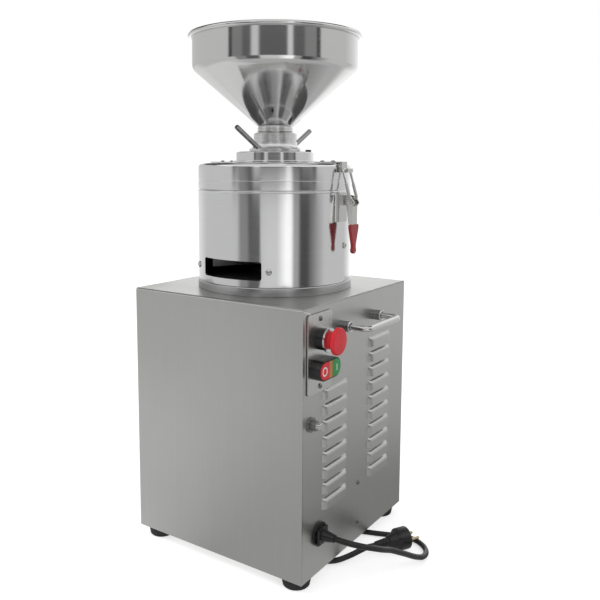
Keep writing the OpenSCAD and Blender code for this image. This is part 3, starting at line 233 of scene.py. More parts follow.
def hand_smudges():
    """Soft cloudy marks from handling and wiping."""
    tree, given, made = effect("hand_smudges", "Scale", ("Mask",))
    cloud = noise(tree, given["Vector"], given["Scale"], 5.0, 0.62, 0.7)
    tree.links.new(spread(tree, cloud, 0.42, 0.72), made["Mask"])


def moulded_grain():
    """Fine pebble of a moulding tool, and faint flow marks."""
    tree, given, made = effect("moulded_grain", "Scale", ("Height", "Flow"))
    tree.links.new(cells(tree, given["Vector"], given["Scale"]), made["Height"])
    flow = noise(tree, given["Vector"], scaled(tree, given["Scale"], 0.03), 4.0)
    tree.links.new(spread(tree, flow, 0.3, 0.7), made["Flow"])


def settled_dust():
    """Thin dust on faces that look up."""
    tree, given, made = effect("settled_dust", "Amount", ("Mask",))
    up = axes(tree, put(tree, "ShaderNodeNewGeometry").outputs["Normal"])[2]
    speck = noise(tree, given["Vector"], 420.0, 3.0)
    lying = scaled(tree, spread(tree, up, 0.2, 1.0), spread(tree, speck, 0.4, 0.7))
    tree.links.new(calc(tree, "MULTIPLY", lying, given["Amount"], True), made["Mask"])


def worn_and_highlit_edges():
    """Bright rub along convex edges: wear, and also a painted edge highlight in the colour."""
    tree, given, made = effect("worn_and_highlit_edges", "Radius", ("Mask",))
    plain = put(tree, "ShaderNodeNewGeometry").outputs["Normal"]
    rounded = put(tree, "ShaderNodeBevel", {"Radius": given["Radius"]}, samples=4).outputs[0]
    along = vector_calc(tree, "DOT_PRODUCT", plain, rounded)
    patch = noise(tree, given["Vector"], 160.0, 4.0)
    tree.links.new(scaled(tree, spread(tree, along, 0.995, 0.90), spread(tree, patch, 0.35, 0.65)), made["Mask"])


# Finishes

FINISHES = {}


def blank(name):
    """New material with nodes; returns it with its tree."""
    material = bpy.data.materials.new(name)
    material.use_nodes = True
    return material, material.node_tree


def finish(name):
    """Start a finish; returns its tree, shader and object coordinates."""
    FINISHES[name], tree = blank(name)
    return tree, tree.nodes["Principled BSDF"], put(tree, "ShaderNodeTexCoord").outputs["Object"]


def wire_up(tree, shader, base, rough, height, strength, depth, fixed=None):
    """Link a finish's colour, roughness and relief, and set its other inputs."""
    bump = put(tree, "ShaderNodeBump", {"Height": height, "Strength": strength, "Distance": depth}).outputs[0]
    for name, socket in (("Base Color", base), ("Roughness", rough), ("Normal", bump)):
        tree.links.new(socket, shader.inputs[name])
    for name, value in (fixed or {}).items():
        shader.inputs[name].default_value = value


def drawn_metal(name, base, stretch, rough, contrast, strength, smudge, smudge_scale, anisotropy=0.0, turn=0.0,
                worn_lit_edge=0.0, bore=0.0):
    """Metal with lines along one direction, smudges, worn edges with a painted highlight and painted shade in its
    bore.
    """
    tree, shader, place = finish(name)
    grain = use(tree, "grain_lines", vector=place, stretch=stretch)
    marks = use(tree, "hand_smudges", vector=place, scale=smudge_scale)["Mask"]
    dull = shade(base, 1.0 - contrast)
    body = tinted(tree, grain["Lines"], dull, shade(base, 1.0 + contrast))
    body = tinted(tree, scaled(tree, grain["Streaks"], 0.5), body, dull)
    body = tinted(tree, scaled(tree, marks, smudge * 2.0), body, shade(base, 0.82))
    if worn_lit_edge:
        # Edges brightened in the colour: wear, and a painted edge highlight
        edge_wear_and_highlight = use(tree, "worn_and_highlit_edges", vector=place, radius=worn_lit_edge)["Mask"]
        body = tinted(tree, scaled(tree, edge_wear_and_highlight, 0.6), body, shade(base, 1.45))
    uneven = spread(tree, grain["Lines"], 0.0, 1.0, rough - 0.05, rough + 0.05)
    uneven = calc(tree, "ADD", uneven, scaled(tree, marks, smudge))
    # Painted shade: the colour inside the bore's radius goes dark, where the enclosed drum lies in shade
    if bore:
        out = vector_calc(tree, "LENGTH", vector_calc(tree, "MULTIPLY", place, (1.0, 1.0, 0.0)))
        bore_shade = spread(tree, out, bore, bore + 0.001, 1.0, 0.0)
        body = tinted(tree, bore_shade, body, shade(base, 0.10))
        uneven = calc(tree, "ADD", uneven, scaled(tree, bore_shade, 0.4))
    wire_up(tree, shader, body, uneven, grain["Lines"], strength, 0.0002,
            {"Metallic": 1.0, "Anisotropic": anisotropy, "Anisotropic Rotation": turn})


def moulded_plastic(name, base, rough, scale, strength, coat_weight, dust):
    """Injection-moulded plastic with a tool grain, flow marks, rubbed edges with a painted highlight and a little
    dust.
    """
    tree, shader, place = finish(name)
    grain = use(tree, "moulded_grain", vector=place, scale=scale)
    marks = use(tree, "hand_smudges", vector=place, scale=45.0)["Mask"]
    dirt = use(tree, "settled_dust", vector=place, amount=dust)["Mask"]
    edge_wear_and_highlight = use(tree, "worn_and_highlit_edges", vector=place, radius=0.0006)["Mask"]
    body = tinted(tree, grain["Flow"], shade(base, 0.86), shade(base, 1.14))
    body = tinted(tree, dirt, body, (0.32, 0.31, 0.29))
    # Rubbed edge colour: wear, and a painted edge highlight
    body = tinted(tree, scaled(tree, edge_wear_and_highlight, 0.35), body, tuple(c * 0.8 + 0.04 for c in base))
    uneven = calc(tree, "ADD", spread(tree, grain["Height"], 0.0, 0.8, rough - 0.04, rough + 0.05),
                  scaled(tree, marks, 0.07))
    wire_up(tree, shader, body, uneven, grain["Height"], strength, 0.00006,
            {"Coat Weight": coat_weight, "Coat Roughness": 0.12})


def soft_rubber(name, base, rough, dust):
    """Black rubber or cord sheath with a bloom, fine pits and dust."""
    tree, shader, place = finish(name)
    grain = use(tree, "moulded_grain", vector=place, scale=1500.0)
    bloom = use(tree, "hand_smudges", vector=place, scale=30.0)["Mask"]
    dirt = use(tree, "settled_dust", vector=place, amount=dust)["Mask"]
    body = tinted(tree, dirt, tinted(tree, bloom, base, shade(base, 1.9)), (0.25, 0.24, 0.225))
    uneven = spread(tree, grain["Flow"], 0.0, 1.0, rough - 0.08, rough + 0.08)
    wire_up(tree, shader, body, uneven, grain["Height"], 0.12, 0.00008)


def hammered_paint(name, base):
    """Paint that dried in round dimples, with chips at the edges."""
    tree, shader, place = finish(name)
    dimples = cells(tree, place, 260.0, feature="SMOOTH_F1")
    marks = use(tree, "hand_smudges", vector=place, scale=14.0)["Mask"]
    edge_wear_and_highlight = use(tree, "worn_and_highlit_edges", vector=place, radius=0.0008)["Mask"]
    body = tinted(tree, dimples, shade(base, 0.75), shade(base, 1.3))
    body = tinted(tree, scaled(tree, edge_wear_and_highlight, 0.7), body, (0.42, 0.42, 0.42))
    wire_up(tree, shader, body, spread(tree, marks, 0.0, 1.0, 0.34, 0.5), dimples, 0.35, 0.0003)


def ground_stone(name, base):
    """Cast disc metal: grey speckle with pores."""
    tree, shader, place = finish(name)
    speckle = noise(tree, place, 900.0, 6.0, 0.7)
    pit = spread(tree, cells(tree, place, 480.0), 0.05, 0.25)
    body = tinted(tree, spread(tree, speckle, 0.35, 0.65), shade(base, 0.6), shade(base, 1.35))
    body = tinted(tree, pit, shade(base, 0.25), body)
    wire_up(tree, shader, body, spread(tree, speckle, 0.3, 0.7, 0.42, 0.7), pit, 0.4, 0.0002, {"Metallic": 0.7})


def lens_plastic(name, base):
    """Clear tinted lens with a prism pattern behind its face."""
    tree, shader, place = finish(name)
    prism = cells(tree, place, 620.0, distance="CHEBYCHEV")
    flow = use(tree, "moulded_grain", vector=place, scale=700.0)["Flow"]
    body = tinted(tree, prism, shade(base, 0.7), shade(base, 1.35))
    wire_up(tree, shader, body, spread(tree, flow, 0.0, 1.0, 0.14, 0.26), prism, 0.10, 0.0001,
            {"Transmission Weight": 0.25, "Coat Weight": 0.4})


def printed_ink(name, base):
    """Pad-printed ink, a little thin in places."""
    tree, shader, place = finish(name)
    thin = noise(tree, place, 1400.0, 4.0)
    body = tinted(tree, spread(tree, thin, 0.3, 0.7), shade(base, 0.86), shade(base, 1.08))
    wire_up(tree, shader, body, spread(tree, thin, 0.3, 0.7, 0.35, 0.5), thin, 0.1, 0.00004)


def mix_finishes(ink):
    """Build every shared effect and every finish once."""
    for build in (grain_lines, hand_smudges, moulded_grain, settled_dust, worn_and_highlit_edges):
        build()
    upright, turned, fine, finest = (3800.0, 3800.0, 26.0), (9.0, 9.0, 5200.0), (1500.0,) * 3, (2500.0,) * 3
    # The base ring's colour is the aluminium darkened: painted shade under the drum's overhang
    ring, rod, worked = shade(ink.aluminium, 0.62), shade(ink.polished, 0.5), shade(ink.zinc, 0.85)
    # Name, colour, stretch of the lines, roughness, contrast, relief, smudges and their scale,
    # then anisotropy and its turn, width of the worn edge with its painted highlight, and radius of the bore
    # painted in shade
    for row in (
            ("brushed_steel", ink.steel, upright, 0.34, 0.05, 0.04, 0.04, 6.0, 0.2, 0.0, 0.0011),
            ("plate_steel", shade(ink.steel, 1.12), upright, 0.27, 0.05, 0.03, 0.04, 12.0, 0.2, 0.0, 0.0009),
            ("turned_aluminium", ink.aluminium, turned, 0.12, 0.05, 0.03, 0.03, 11.0, 0.5, 0.25, 0.0007),
            ("drum_aluminium", ink.aluminium, turned, 0.12, 0.05, 0.03, 0.03, 11.0, 0.5, 0.25, 0.0007, 0.1265),
            ("satin_aluminium", ink.aluminium, turned, 0.30, 0.06, 0.06, 0.05, 16.0, 0.3, 0.25, 0.0006),
            ("ring_aluminium", ring, turned, 0.24, 0.06, 0.04, 0.04, 11.0, 0.5, 0.25, 0.0006),
            ("spun_polish", ink.polished, (7.0, 7.0, 2600.0), 0.10, 0.03, 0.012, 0.03, 8.0, 0.35, 0.25),
            ("bright_chrome", ink.polished, (420.0, 420.0, 420.0), 0.13, 0.03, 0.01, 0.04, 30.0),
            ("rod_steel", rod, (60.0, 60.0, 900.0), 0.15, 0.04, 0.012, 0.04, 30.0),
            ("latch_plate", ink.zinc, (60.0, 60.0, 1900.0), 0.15, 0.04, 0.012, 0.05, 30.0, 0.0, 0.0, 0.0005),
            ("zinc_plate", ink.zinc, (900.0, 900.0, 260.0), 0.25, 0.09, 0.05, 0.08, 40.0, 0.0, 0.0, 0.0005),
            ("grey_metal", ink.grey, fine, 0.28, 0.15, 0.06, 0.06, 50.0, 0.0, 0.0, 0.0005),
            ("dark_metal", ink.dark, fine, 0.36, 0.15, 0.08, 0.06, 50.0, 0.0, 0.0, 0.0005),
            ("machined_steel", worked, turned, 0.34, 0.1, 0.08, 0.07, 14.0, 0.0, 0.0, 0.0006),
            ("plated_brass", ink.brass, finest, 0.24, 0.08, 0.04, 0.08, 90.0, 0.0, 0.0, 0.0003)):
        drawn_metal(*row)
    # Name, colour, roughness, scale of the grain, relief, coat and dust
    for row in (("black_plastic", ink.plastic, 0.30, 900.0, 0.05, 0.1, 0.03),
                ("red_plastic", ink.red, 0.38, 1400.0, 0.03, 0.0, 0.0),
                ("green_plastic", ink.green, 0.38, 1400.0, 0.03, 0.0, 0.0),
                ("grip_plastic", ink.grip, 0.38, 1100.0, 0.06, 0.1, 0.05)):
        moulded_plastic(*row)
    soft_rubber("black_rubber", ink.rubber, 0.72, 0.35)
    soft_rubber("cord_sheath", shade(ink.rubber, 0.5), 0.34, 0.05)
    hammered_paint("motor_paint", ink.paint)
    ground_stone("grinding_stone", ink.stone)
    lens_plastic("amber_lens", ink.amber)
    printed_ink("white_print", ink.white)


# Mesh helpers


def link(name, data):
    """New object in the scene, at the origin."""
    thing = bpy.data.objects.new(name, data)
    bpy.context.scene.collection.objects.link(thing)
    return thing


def baked(name, mesh, kind, attributes, values=None):
    """Mesh that one modifier makes of another mesh, which is dropped."""
    carrier = link(name, mesh)
    modifier = carrier.modifiers.new(name, kind)
    for key, value in attributes.items():
        setattr(modifier, key, value)
    for key, value in (values or {}).items():
        modifier[key] = value
    bpy.context.view_layer.update()
    made = bpy.data.meshes.new_from_object(carrier.evaluated_get(bpy.context.evaluated_depsgraph_get()))
    carrier.modifiers.remove(modifier)
    bpy.data.objects.remove(carrier)
    bpy.data.meshes.remove(mesh)
    made.name = name
    return made


def place_mesh(name, mesh, body, finish_name, replaced=(), angle=32.0, even=False):
    """Link a mesh as a piece of a body, with its finish and the nodes it stands for.

    Even normals are weighed by face area, so that flat sheet stays flat beside its bends.
    """
    mesh.shade_smooth()
    mesh.set_sharp_from_angle(angle=math.radians(angle))
    if even:
        mesh = baked(name, mesh, "WEIGHTED_NORMAL", {"mode": "FACE_AREA", "weight": 100, "keep_sharp": True})
    mesh.materials.clear()
    mesh.materials.append(FINISHES[finish_name])
    piece = link(name, mesh)
    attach(piece, body)
    if replaced:
        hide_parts(*replaced)
    return piece


def mesh_from(name, points, faces):
    mesh = bpy.data.meshes.new(name)
    mesh.from_pydata(points, [], faces)
    mesh.update()
    return mesh


def mesh_of(name, bm):
    mesh = bpy.data.meshes.new(name)
    bm.to_mesh(mesh)
    bm.free()
    return mesh


def quads(rows, columns, closed=False):
    """Faces between neighbouring rings of points, and from the last ring to the first if closed."""
    faces = []
    for i in range(rows if closed else rows - 1):
        here, there = i * columns, (i + 1) % rows * columns
        for k in range(columns):
            n = (k + 1) % columns
            faces.append((here + k, here + n, there + n, there + k))
    return faces


def arc(r, z, wide, tall, first, last):
    """Points at every 15 degrees of an oval arc, as (radius, height)."""
    turns = [math.radians(d) for d in range(first, last + 1, 15)]
    return [(r + wide * math.cos(a), z + tall * math.sin(a)) for a in turns]


def eased_corner(before, corner, after, radius, steps):
    """Points of a round corner between two straight runs."""
    a, c, b = Vector(before), Vector(corner), Vector(after)
    u, v = (a - c).normalized(), (b - c).normalized()
    half = u.angle(v) / 2.0
    cut = min(radius / math.tan(half), (a - c).length * 0.49, (b - c).length * 0.49)
    start, end = c + u * cut, c + v * cut
    return [(start * (1 - t) + c * t) * (1 - t) + (c * (1 - t) + end * t) * t
            for t in (i / steps for i in range(steps + 1))]


def eased_outline(corners):
    """Closed outline through corners of (point, bend radius), with finer steps in a wide bend."""
    outline = []
    for i, (p, bend) in enumerate(corners):
        before, after = corners[i - 1][0], corners[(i + 1) % len(corners)][0]
        outline += eased_corner(before, p, after, bend, 10 if bend > 5.0 else 4) if bend else [p]
    return outline


def lathe(name, outline, segments):
    """Revolve a closed outline of (radius, height) points in millimetres."""
    points = []
    for i in range(segments):
        a = 2.0 * math.pi * i / segments
        points += [(r * MM * math.cos(a), r * MM * math.sin(a), z * MM) for r, z in outline]
    mesh = mesh_from(name, points, quads(segments, len(outline), True))
    tidy_mesh(mesh)
    return mesh


def tidy_mesh(mesh):
    """Merge doubles, drop empty faces and turn all faces outwards."""
    bm = bmesh.new()
    bm.from_mesh(mesh)
    bmesh.ops.remove_doubles(bm, verts=bm.verts, dist=1e-6)
    bmesh.ops.dissolve_degenerate(bm, dist=1e-7, edges=bm.edges)
    bmesh.ops.recalc_face_normals(bm, faces=bm.faces)
    bm.to_mesh(mesh)
    bm.free()


def sweep(name, line, radius, sides):
    """Tube with flat ends along a line of points, its ring carried along without twist."""
    points, last = [], len(line) - 1
    ahead = [(line[min(i + 1, last)] - line[max(i - 1, 0)]).normalized() for i in range(len(line))]
    side = ahead[0].orthogonal().normalized()
    for p, t in zip(line, ahead):
        side = (side - t * side.dot(t)).normalized()
        up = t.cross(side)
        for k in range(sides):
            a = 2.0 * math.pi * k / sides
            points.append(p + radius * (math.cos(a) * side + math.sin(a) * up))
    ends = [tuple(reversed(range(sides))), tuple(range(last * sides, (last + 1) * sides))]
    return mesh_from(name, points, quads(len(line), sides) + ends)


def eased_copy(node, ease):
    """Merged copy of a CAD node with its sharp edges rounded by a small radius."""
    bm = bmesh.new()
    bm.from_mesh(NODES[node].data)
    bmesh.ops.remove_doubles(bm, verts=bm.verts, dist=2e-6)
    bmesh.ops.dissolve_degenerate(bm, dist=1e-6, edges=bm.edges)
    if ease:
        bmesh.ops.dissolve_limit(bm, angle_limit=math.radians(0.6), verts=bm.verts, edges=bm.edges)
        sharp = [e for e in bm.edges if len(e.link_faces) == 2 and e.calc_face_angle(0.0) > math.radians(38.0)]
        bmesh.ops.bevel(bm, geom=sharp, offset=ease, offset_type="OFFSET", segments=2, profile=0.5, affect="EDGES",
                        clamp_overlap=True)
    return mesh_of("dressed_" + node, bm)


def dress(node, finish_name, ease=0.0, angle=32.0):
    """Stand a merged, eased copy in for a CAD node, on the same body, with the given finish."""
    return place_mesh("dressed_" + node, eased_copy(node, ease), BODY_OF[node], finish_name, [node],
                      angle, True)


def coat(finish_name, *nodes):
    """Give CAD nodes their finish as they are."""
    for node in nodes:
        mesh = NODES[node].data
        mesh.materials.clear()
        mesh.materials.append(FINISHES[finish_name])


# Geometry Nodes trees for what repeats

# What a point carries beside its place: name, kind and field of the attribute
POINT_VALUES = (("axis", "FLOAT_VECTOR", "vector"), ("twist", "FLOAT", "value"), ("girth", "FLOAT", "value"))


def geometry_tree(name, **inputs):
    """Start a modifier tree with inputs as name_of_input="Kind"; returns it with what it is given and makes."""
    sockets = {key.capitalize().replace("_", " "): kind for key, kind in inputs.items()}
    tree, given, made = group("Geometry", name, {"Geometry": "Geometry", **sockets, "Material": "Material"},
                              {"Geometry": "Geometry"})
    tree.is_modifier = True
    return tree, given, made


def moved(tree, geometry, translation, rotation=(0.0, 0.0, 0.0)):
    inputs = {"Geometry": geometry, "Translation": translation, "Rotation": rotation}
    return put(tree, "GeometryNodeTransform", inputs).outputs[0]


def cut_by(tree, body, cutter):
    node = put(tree, "GeometryNodeMeshBoolean", {"Mesh 1": body}, operation="DIFFERENCE")
    tree.links.new(cutter, node.inputs["Mesh 2"])
    return node.outputs["Mesh"]


def end_tree(tree, given, made, instance):
    """Stand the instance on each point along its axis, realise it and set its material."""
    attribute = "GeometryNodeInputNamedAttribute"
    axis, twist, girth = (put(tree, attribute, {"Name": name}, data_type=kind).outputs["Attribute"]
                          for name, kind, _ in POINT_VALUES)
    facing = put(tree, "FunctionNodeAlignRotationToVector", {"Vector": axis}, axis="Z").outputs[0]
    turn = put(tree, "FunctionNodeAxisAngleToRotation", {"Axis": UP, "Angle": twist}).outputs[0]
    facing = put(tree, "FunctionNodeRotateRotation", {"Rotation": facing, "Rotate By": turn},
                 rotation_space="LOCAL").outputs[0]
    stood = put(tree, "GeometryNodeInstanceOnPoints", {
        "Points": given["Geometry"], "Instance": instance, "Rotation": facing, "Scale": girth}).outputs[0]
    solid = put(tree, "GeometryNodeRealizeInstances", {"Geometry": stood}).outputs[0]
    done = put(tree, "GeometryNodeSetMaterial", {"Geometry": solid, "Material": given["Material"]}).outputs[0]
    tree.links.new(done, made["Geometry"])
    return tree


def screw_tree():
    """Crowned screw heads with a cross or a socket recess, one on each point."""
    tree, given, made = geometry_tree(
        "screw_heads", head_radius="Float", head_height="Float", crown="Float", recess_width="Float",
        recess_length="Float", recess_depth="Float", recess_sides="Int")
    radius, height, width = given["Head radius"], given["Head height"], given["Recess width"]
    cylinder = "GeometryNodeMeshCylinder"
    head = put(tree, cylinder, {"Vertices": 28, "Side Segments": 2, "Fill Segments": 5, "Radius": radius,
                                "Depth": height}).outputs["Mesh"]
    head = moved(tree, head, xyz(tree, z=scaled(tree, height, 0.5)))
    x, y, z = axes(tree, put(tree, "GeometryNodeInputPosition").outputs[0])
    share = calc(tree, "DIVIDE", vector_calc(tree, "LENGTH", xyz(tree, x, y)), radius)
    fall = scaled(tree, scaled(tree, share, share), given["Crown"])
    top = calc(tree, "GREATER_THAN", z, scaled(tree, height, 0.9))
    head = put(tree, "GeometryNodeSetPosition", {
        "Geometry": head, "Selection": top, "Offset": xyz(tree, z=scaled(tree, fall, -1.0))}).outputs[0]
    deep, lift = scaled(tree, given["Recess depth"], 2.0), xyz(tree, z=height)
    size = xyz(tree, given["Recess length"], width, deep)
    bar = put(tree, "GeometryNodeMeshCube", {"Size": size}).outputs["Mesh"]
    crossed = head
    for turn in (0.0, math.pi / 2.0):
        crossed = cut_by(tree, crossed, moved(tree, bar, lift, (0.0, 0.0, turn)))
    socket = put(tree, cylinder, {"Vertices": 6, "Radius": width, "Depth": deep}).outputs["Mesh"]
    socket = cut_by(tree, head, moved(tree, socket, lift))
    is_socket = put(tree, "FunctionNodeCompare", {2: given["Recess sides"], 3: 6}, data_type="INT",
                    operation="EQUAL").outputs[0]
    head = put(tree, "GeometryNodeSwitch", {"Switch": is_socket, "False": crossed, "True": socket},
               input_type="GEOMETRY").outputs[0]
    return end_tree(tree, given, made, head)


def ring_tree():
    """Round ribs, one on each point, as wide as the point's girth."""
    tree, given, made = geometry_tree("ribs", rib_share="Float")
    circle = "GeometryNodeCurvePrimitiveCircle"
    loop = put(tree, circle, {"Resolution": 40, "Radius": 1.0}).outputs["Curve"]
    cross = put(tree, circle, {"Resolution": 10, "Radius": given["Rib share"]}).outputs["Curve"]
    ring = put(tree, "GeometryNodeCurveToMesh", {"Curve": loop, "Profile Curve": cross}).outputs[0]
    return end_tree(tree, given, made, ring)


def hood_tree():
    """Pressed louvre hoods, one on each point, with a round shoulder and round ends."""
    tree, given, made = geometry_tree("louvre_hoods", length="Float", height="Float", depth="Float",
                                      shoulder="Float", end="Float")
    sheet = put(tree, "GeometryNodeMeshGrid", {
        "Size X": 2.0, "Size Y": 2.0, "Vertices X": 13, "Vertices Y": 33}).outputs["Mesh"]
    x, y, _ = axes(tree, put(tree, "GeometryNodeInputPosition").outputs[0])
    turn = scaled(tree, calc(tree, "ADD", x, 1.0), math.pi / 4.0)
    down = calc(tree, "SUBTRACT", 1.0, calc(tree, "COSINE", turn))
    along = calc(tree, "SINE", scaled(tree, y, math.pi / 2.0))
    half = scaled(tree, given["Length"], 0.5)
    drop, side = scaled(tree, down, given["Height"]), scaled(tree, along, half)
    inset = calc(tree, "SUBTRACT", half, calc(tree, "ABSOLUTE", side))
    depth = given["Depth"]
    for way, slope in ((drop, "Shoulder"), (inset, "End")):
        share = calc(tree, "MINIMUM", calc(tree, "DIVIDE", way, given[slope]), 1.0)
        depth = scaled(tree, depth, calc(tree, "SINE", scaled(tree, share, math.pi / 2.0)))
    lean = calc(tree, "ADD", scaled(tree, down, 0.15), 0.85)
    depth = calc(tree, "SUBTRACT", scaled(tree, depth, lean), 0.0002)
    place = xyz(tree, drop, side, depth)
    hood = put(tree, "GeometryNodeSetPosition", {"Geometry": sheet, "Position": place}).outputs[0]
    return end_tree(tree, given, made, hood)


def spot(x, y, z, axis, twist=0.0, girth=1.0):
    """Point for grow: its place from millimetres, its axis, its twist from degrees and its girth."""
    return Vector((x, y, z)) * MM, Vector(axis), math.radians(twist), girth


def grow(name, tree, spots, values, finish_name):
    """Run a tree on points of (place, axis, twist, girth) and return the plain mesh."""
    seed = mesh_from(name + "_points", [s[0] for s in spots], [])
    for place, (key, kind, field) in enumerate(POINT_VALUES, 1):
        for item, s in zip(seed.attributes.new(key, kind, "POINT").data, spots):
            setattr(item, field, s[place])
    values = {**values, "Material": FINISHES[finish_name]}
    inputs = {socket.identifier: values[socket.name] for socket in tree.interface.items_tree
              if socket.in_out == "INPUT" and socket.name in values}
    return baked(name, seed, "NODES", {"node_group": tree}, inputs)


# Route of the cord and place of the plug, as in the CAD source, in millimetres

PLUG_TAIL = Vector((207.0, -1.5, 18.7))
PLUG_AHEAD = Vector((math.cos(math.radians(60.0)), math.sin(math.radians(60.0)), 0.0))
PLUG_LEAD = 18.0
CORD_ROUTE = [Vector(p) for p in (
    (200, -122, 82), (214, -122, 82), (230, -119, 81), (245, -111.5, 78.5), (256, -98.5, 73.5),
    (261.5, -82.5, 66), (265, -60.5, 56), (269, -39, 44), (273, -17.5, 31.5), (277.5, 4, 19),
    (281.5, 26.5, 9.5), (277.5, 49.5, 5.5), (264.5, 66.5, 5), (245, 76.5, 5), (221.5, 76.5, 5),
    (200, 67.5, 5), (179, 59, 5), (157.5, 51.5, 5), (136, 43.5, 5), (114, 35.5, 5), (94, 23, 5),
    (81, 3, 5), (77.5, -20, 5), (84, -43, 5), (99, -61, 5), (120.5, -71.5, 5), (144, -72, 5),
    (166, -62.5, 7.5), (182, -45, 12.5))] + [PLUG_TAIL - PLUG_LEAD * PLUG_AHEAD, PLUG_TAIL]


def cord_line(steps):
    """Points along the cord, rounded through the route's own points, in metres."""
    route = [2 * CORD_ROUTE[0] - CORD_ROUTE[1]] + CORD_ROUTE + [2 * CORD_ROUTE[-1] - CORD_ROUTE[-2]]
    line = []
    for p, q, r, s in zip(route, route[1:], route[2:], route[3:]):
        for k in range(steps):
            t = k / steps
            line.append(0.5 * (2 * q + (r - p) * t + (2 * p - 5 * q + 4 * r - s) * t * t
                               + (3 * q - p - 3 * r + s) * t ** 3) * MM)
    return line + [CORD_ROUTE[-1] * MM]


def at_plug():
    """Matrix that stands the plug's own Z axis along its cord, tail at the origin."""
    turn = Matrix((UP.cross(PLUG_AHEAD), UP, PLUG_AHEAD)).transposed().to_4x4()
    return Matrix.Translation(PLUG_TAIL * MM) @ turn


# Operators

CAMERA_PLACE = Vector((0.7251, -1.0264, 0.6498))


class MILL_OT_camera(bpy.types.Operator):
    """Stand the camera where the photograph was taken from"""

    bl_idname = "mill.camera"
    bl_label = "Camera"

    heading, pitch, roll = 34.087, 90.0 - 6.6675, 0.236

    def execute(self, context):
        data = bpy.data.cameras.new("photo_camera")
        data.sensor_width = 36.0
        data.lens = context.scene.mill_stage.lens
        data.shift_x, data.shift_y = 0.0178, -0.083
        stand = Matrix.Translation(CAMERA_PLACE)
        for angle, axis in ((self.heading, "Z"), (self.pitch, "X"), (self.roll, "Z")):
            stand = stand @ Matrix.Rotation(math.radians(angle), 4, axis)
        camera = link("photo_camera", data)
        camera.matrix_world = stand
        context.scene.camera = camera
        return {"FINISHED"}


class MILL_OT_cord(bpy.types.Operator):
    """Lay the mains cord from its gland to its plug, with the plug and its pins"""

    bl_idname = "mill.cord"
    bl_label = "Cord and plug"

    # The plug's outline as (radius, height) from its tail, in millimetres, and its bend relief and grip
    outline = ((0.0, 0.0), (5.3, 0.0), (7.0, 24.0), (10.0, 27.0), (14.5, 39.0), (18.5, 44.0), (18.5, 63.0),
               (17.5, 64.0), (0.0, 64.0))
    tail_r, neck_r, relief, rib_gap, ribs_in_all = 5.3, 7.0, 24.0, 3.0, 7
    grip_foot, grip_head, grip_fade, flutes, flute_depth = 44.0, 61.0, 2.5, 18.0, 0.035

    def execute(self, context):
        sizes = context.scene.mill_sizes
        line = cord_line(6)
        mesh = sweep("mains_cord", line, sizes.cord_diameter / 2.0, sizes.cord_sides)
        cord = place_mesh("mains_cord", mesh, "mill", "cord_sheath", ["power_cord"], 60.0)
        plug = self.plug()
        ribs = self.ribs(sizes)
        pins = dress("plug_pins", "plated_brass", 0.0003)
        return {"FINISHED"}

    def plug(self):
        """Moulded plug: tail, neck, fluted grip and flat face."""
        first, *middle, last = self.outline
        corners = [(first, 0.0)] + [(p, 1.6) for p in middle] + [(last, 0.0)]
        mesh = lathe("plug_moulding", eased_outline(corners), 144)
        for v in mesh.vertices:
            z = v.co.z / MM
            inside = min(z - self.grip_foot, self.grip_head - z)
            band = max(0.0, min(1.0, inside / self.grip_fade))
            wave = max(0.0, math.cos(self.flutes * math.atan2(v.co.y, v.co.x)))
            dip = 1.0 - self.flute_depth * band * wave
            v.co.x, v.co.y = v.co.x * dip, v.co.y * dip
        mesh.transform(at_plug())
        return place_mesh("plug_moulding", mesh, "mill", "black_plastic", ["plug_body"], 28.0)

    def ribs(self, sizes):
        """Ribs along the plug's tapered bend relief."""
        spots = []
        for i in range(self.ribs_in_all):
            z = self.rib_gap * (i + 1)
            girth = (self.tail_r + (self.neck_r - self.tail_r) * z / self.relief) * MM
            spots.append((at_plug() @ (UP * z * MM), PLUG_AHEAD, 0.0, girth))
        mean = 6.2 * MM
        mesh = grow("plug_ribs", ring_tree(), spots, {"Rib share": sizes.rib / mean}, "black_plastic")
        tidy_mesh(mesh)
        return place_mesh("plug_ribs", mesh, "mill", "black_plastic")


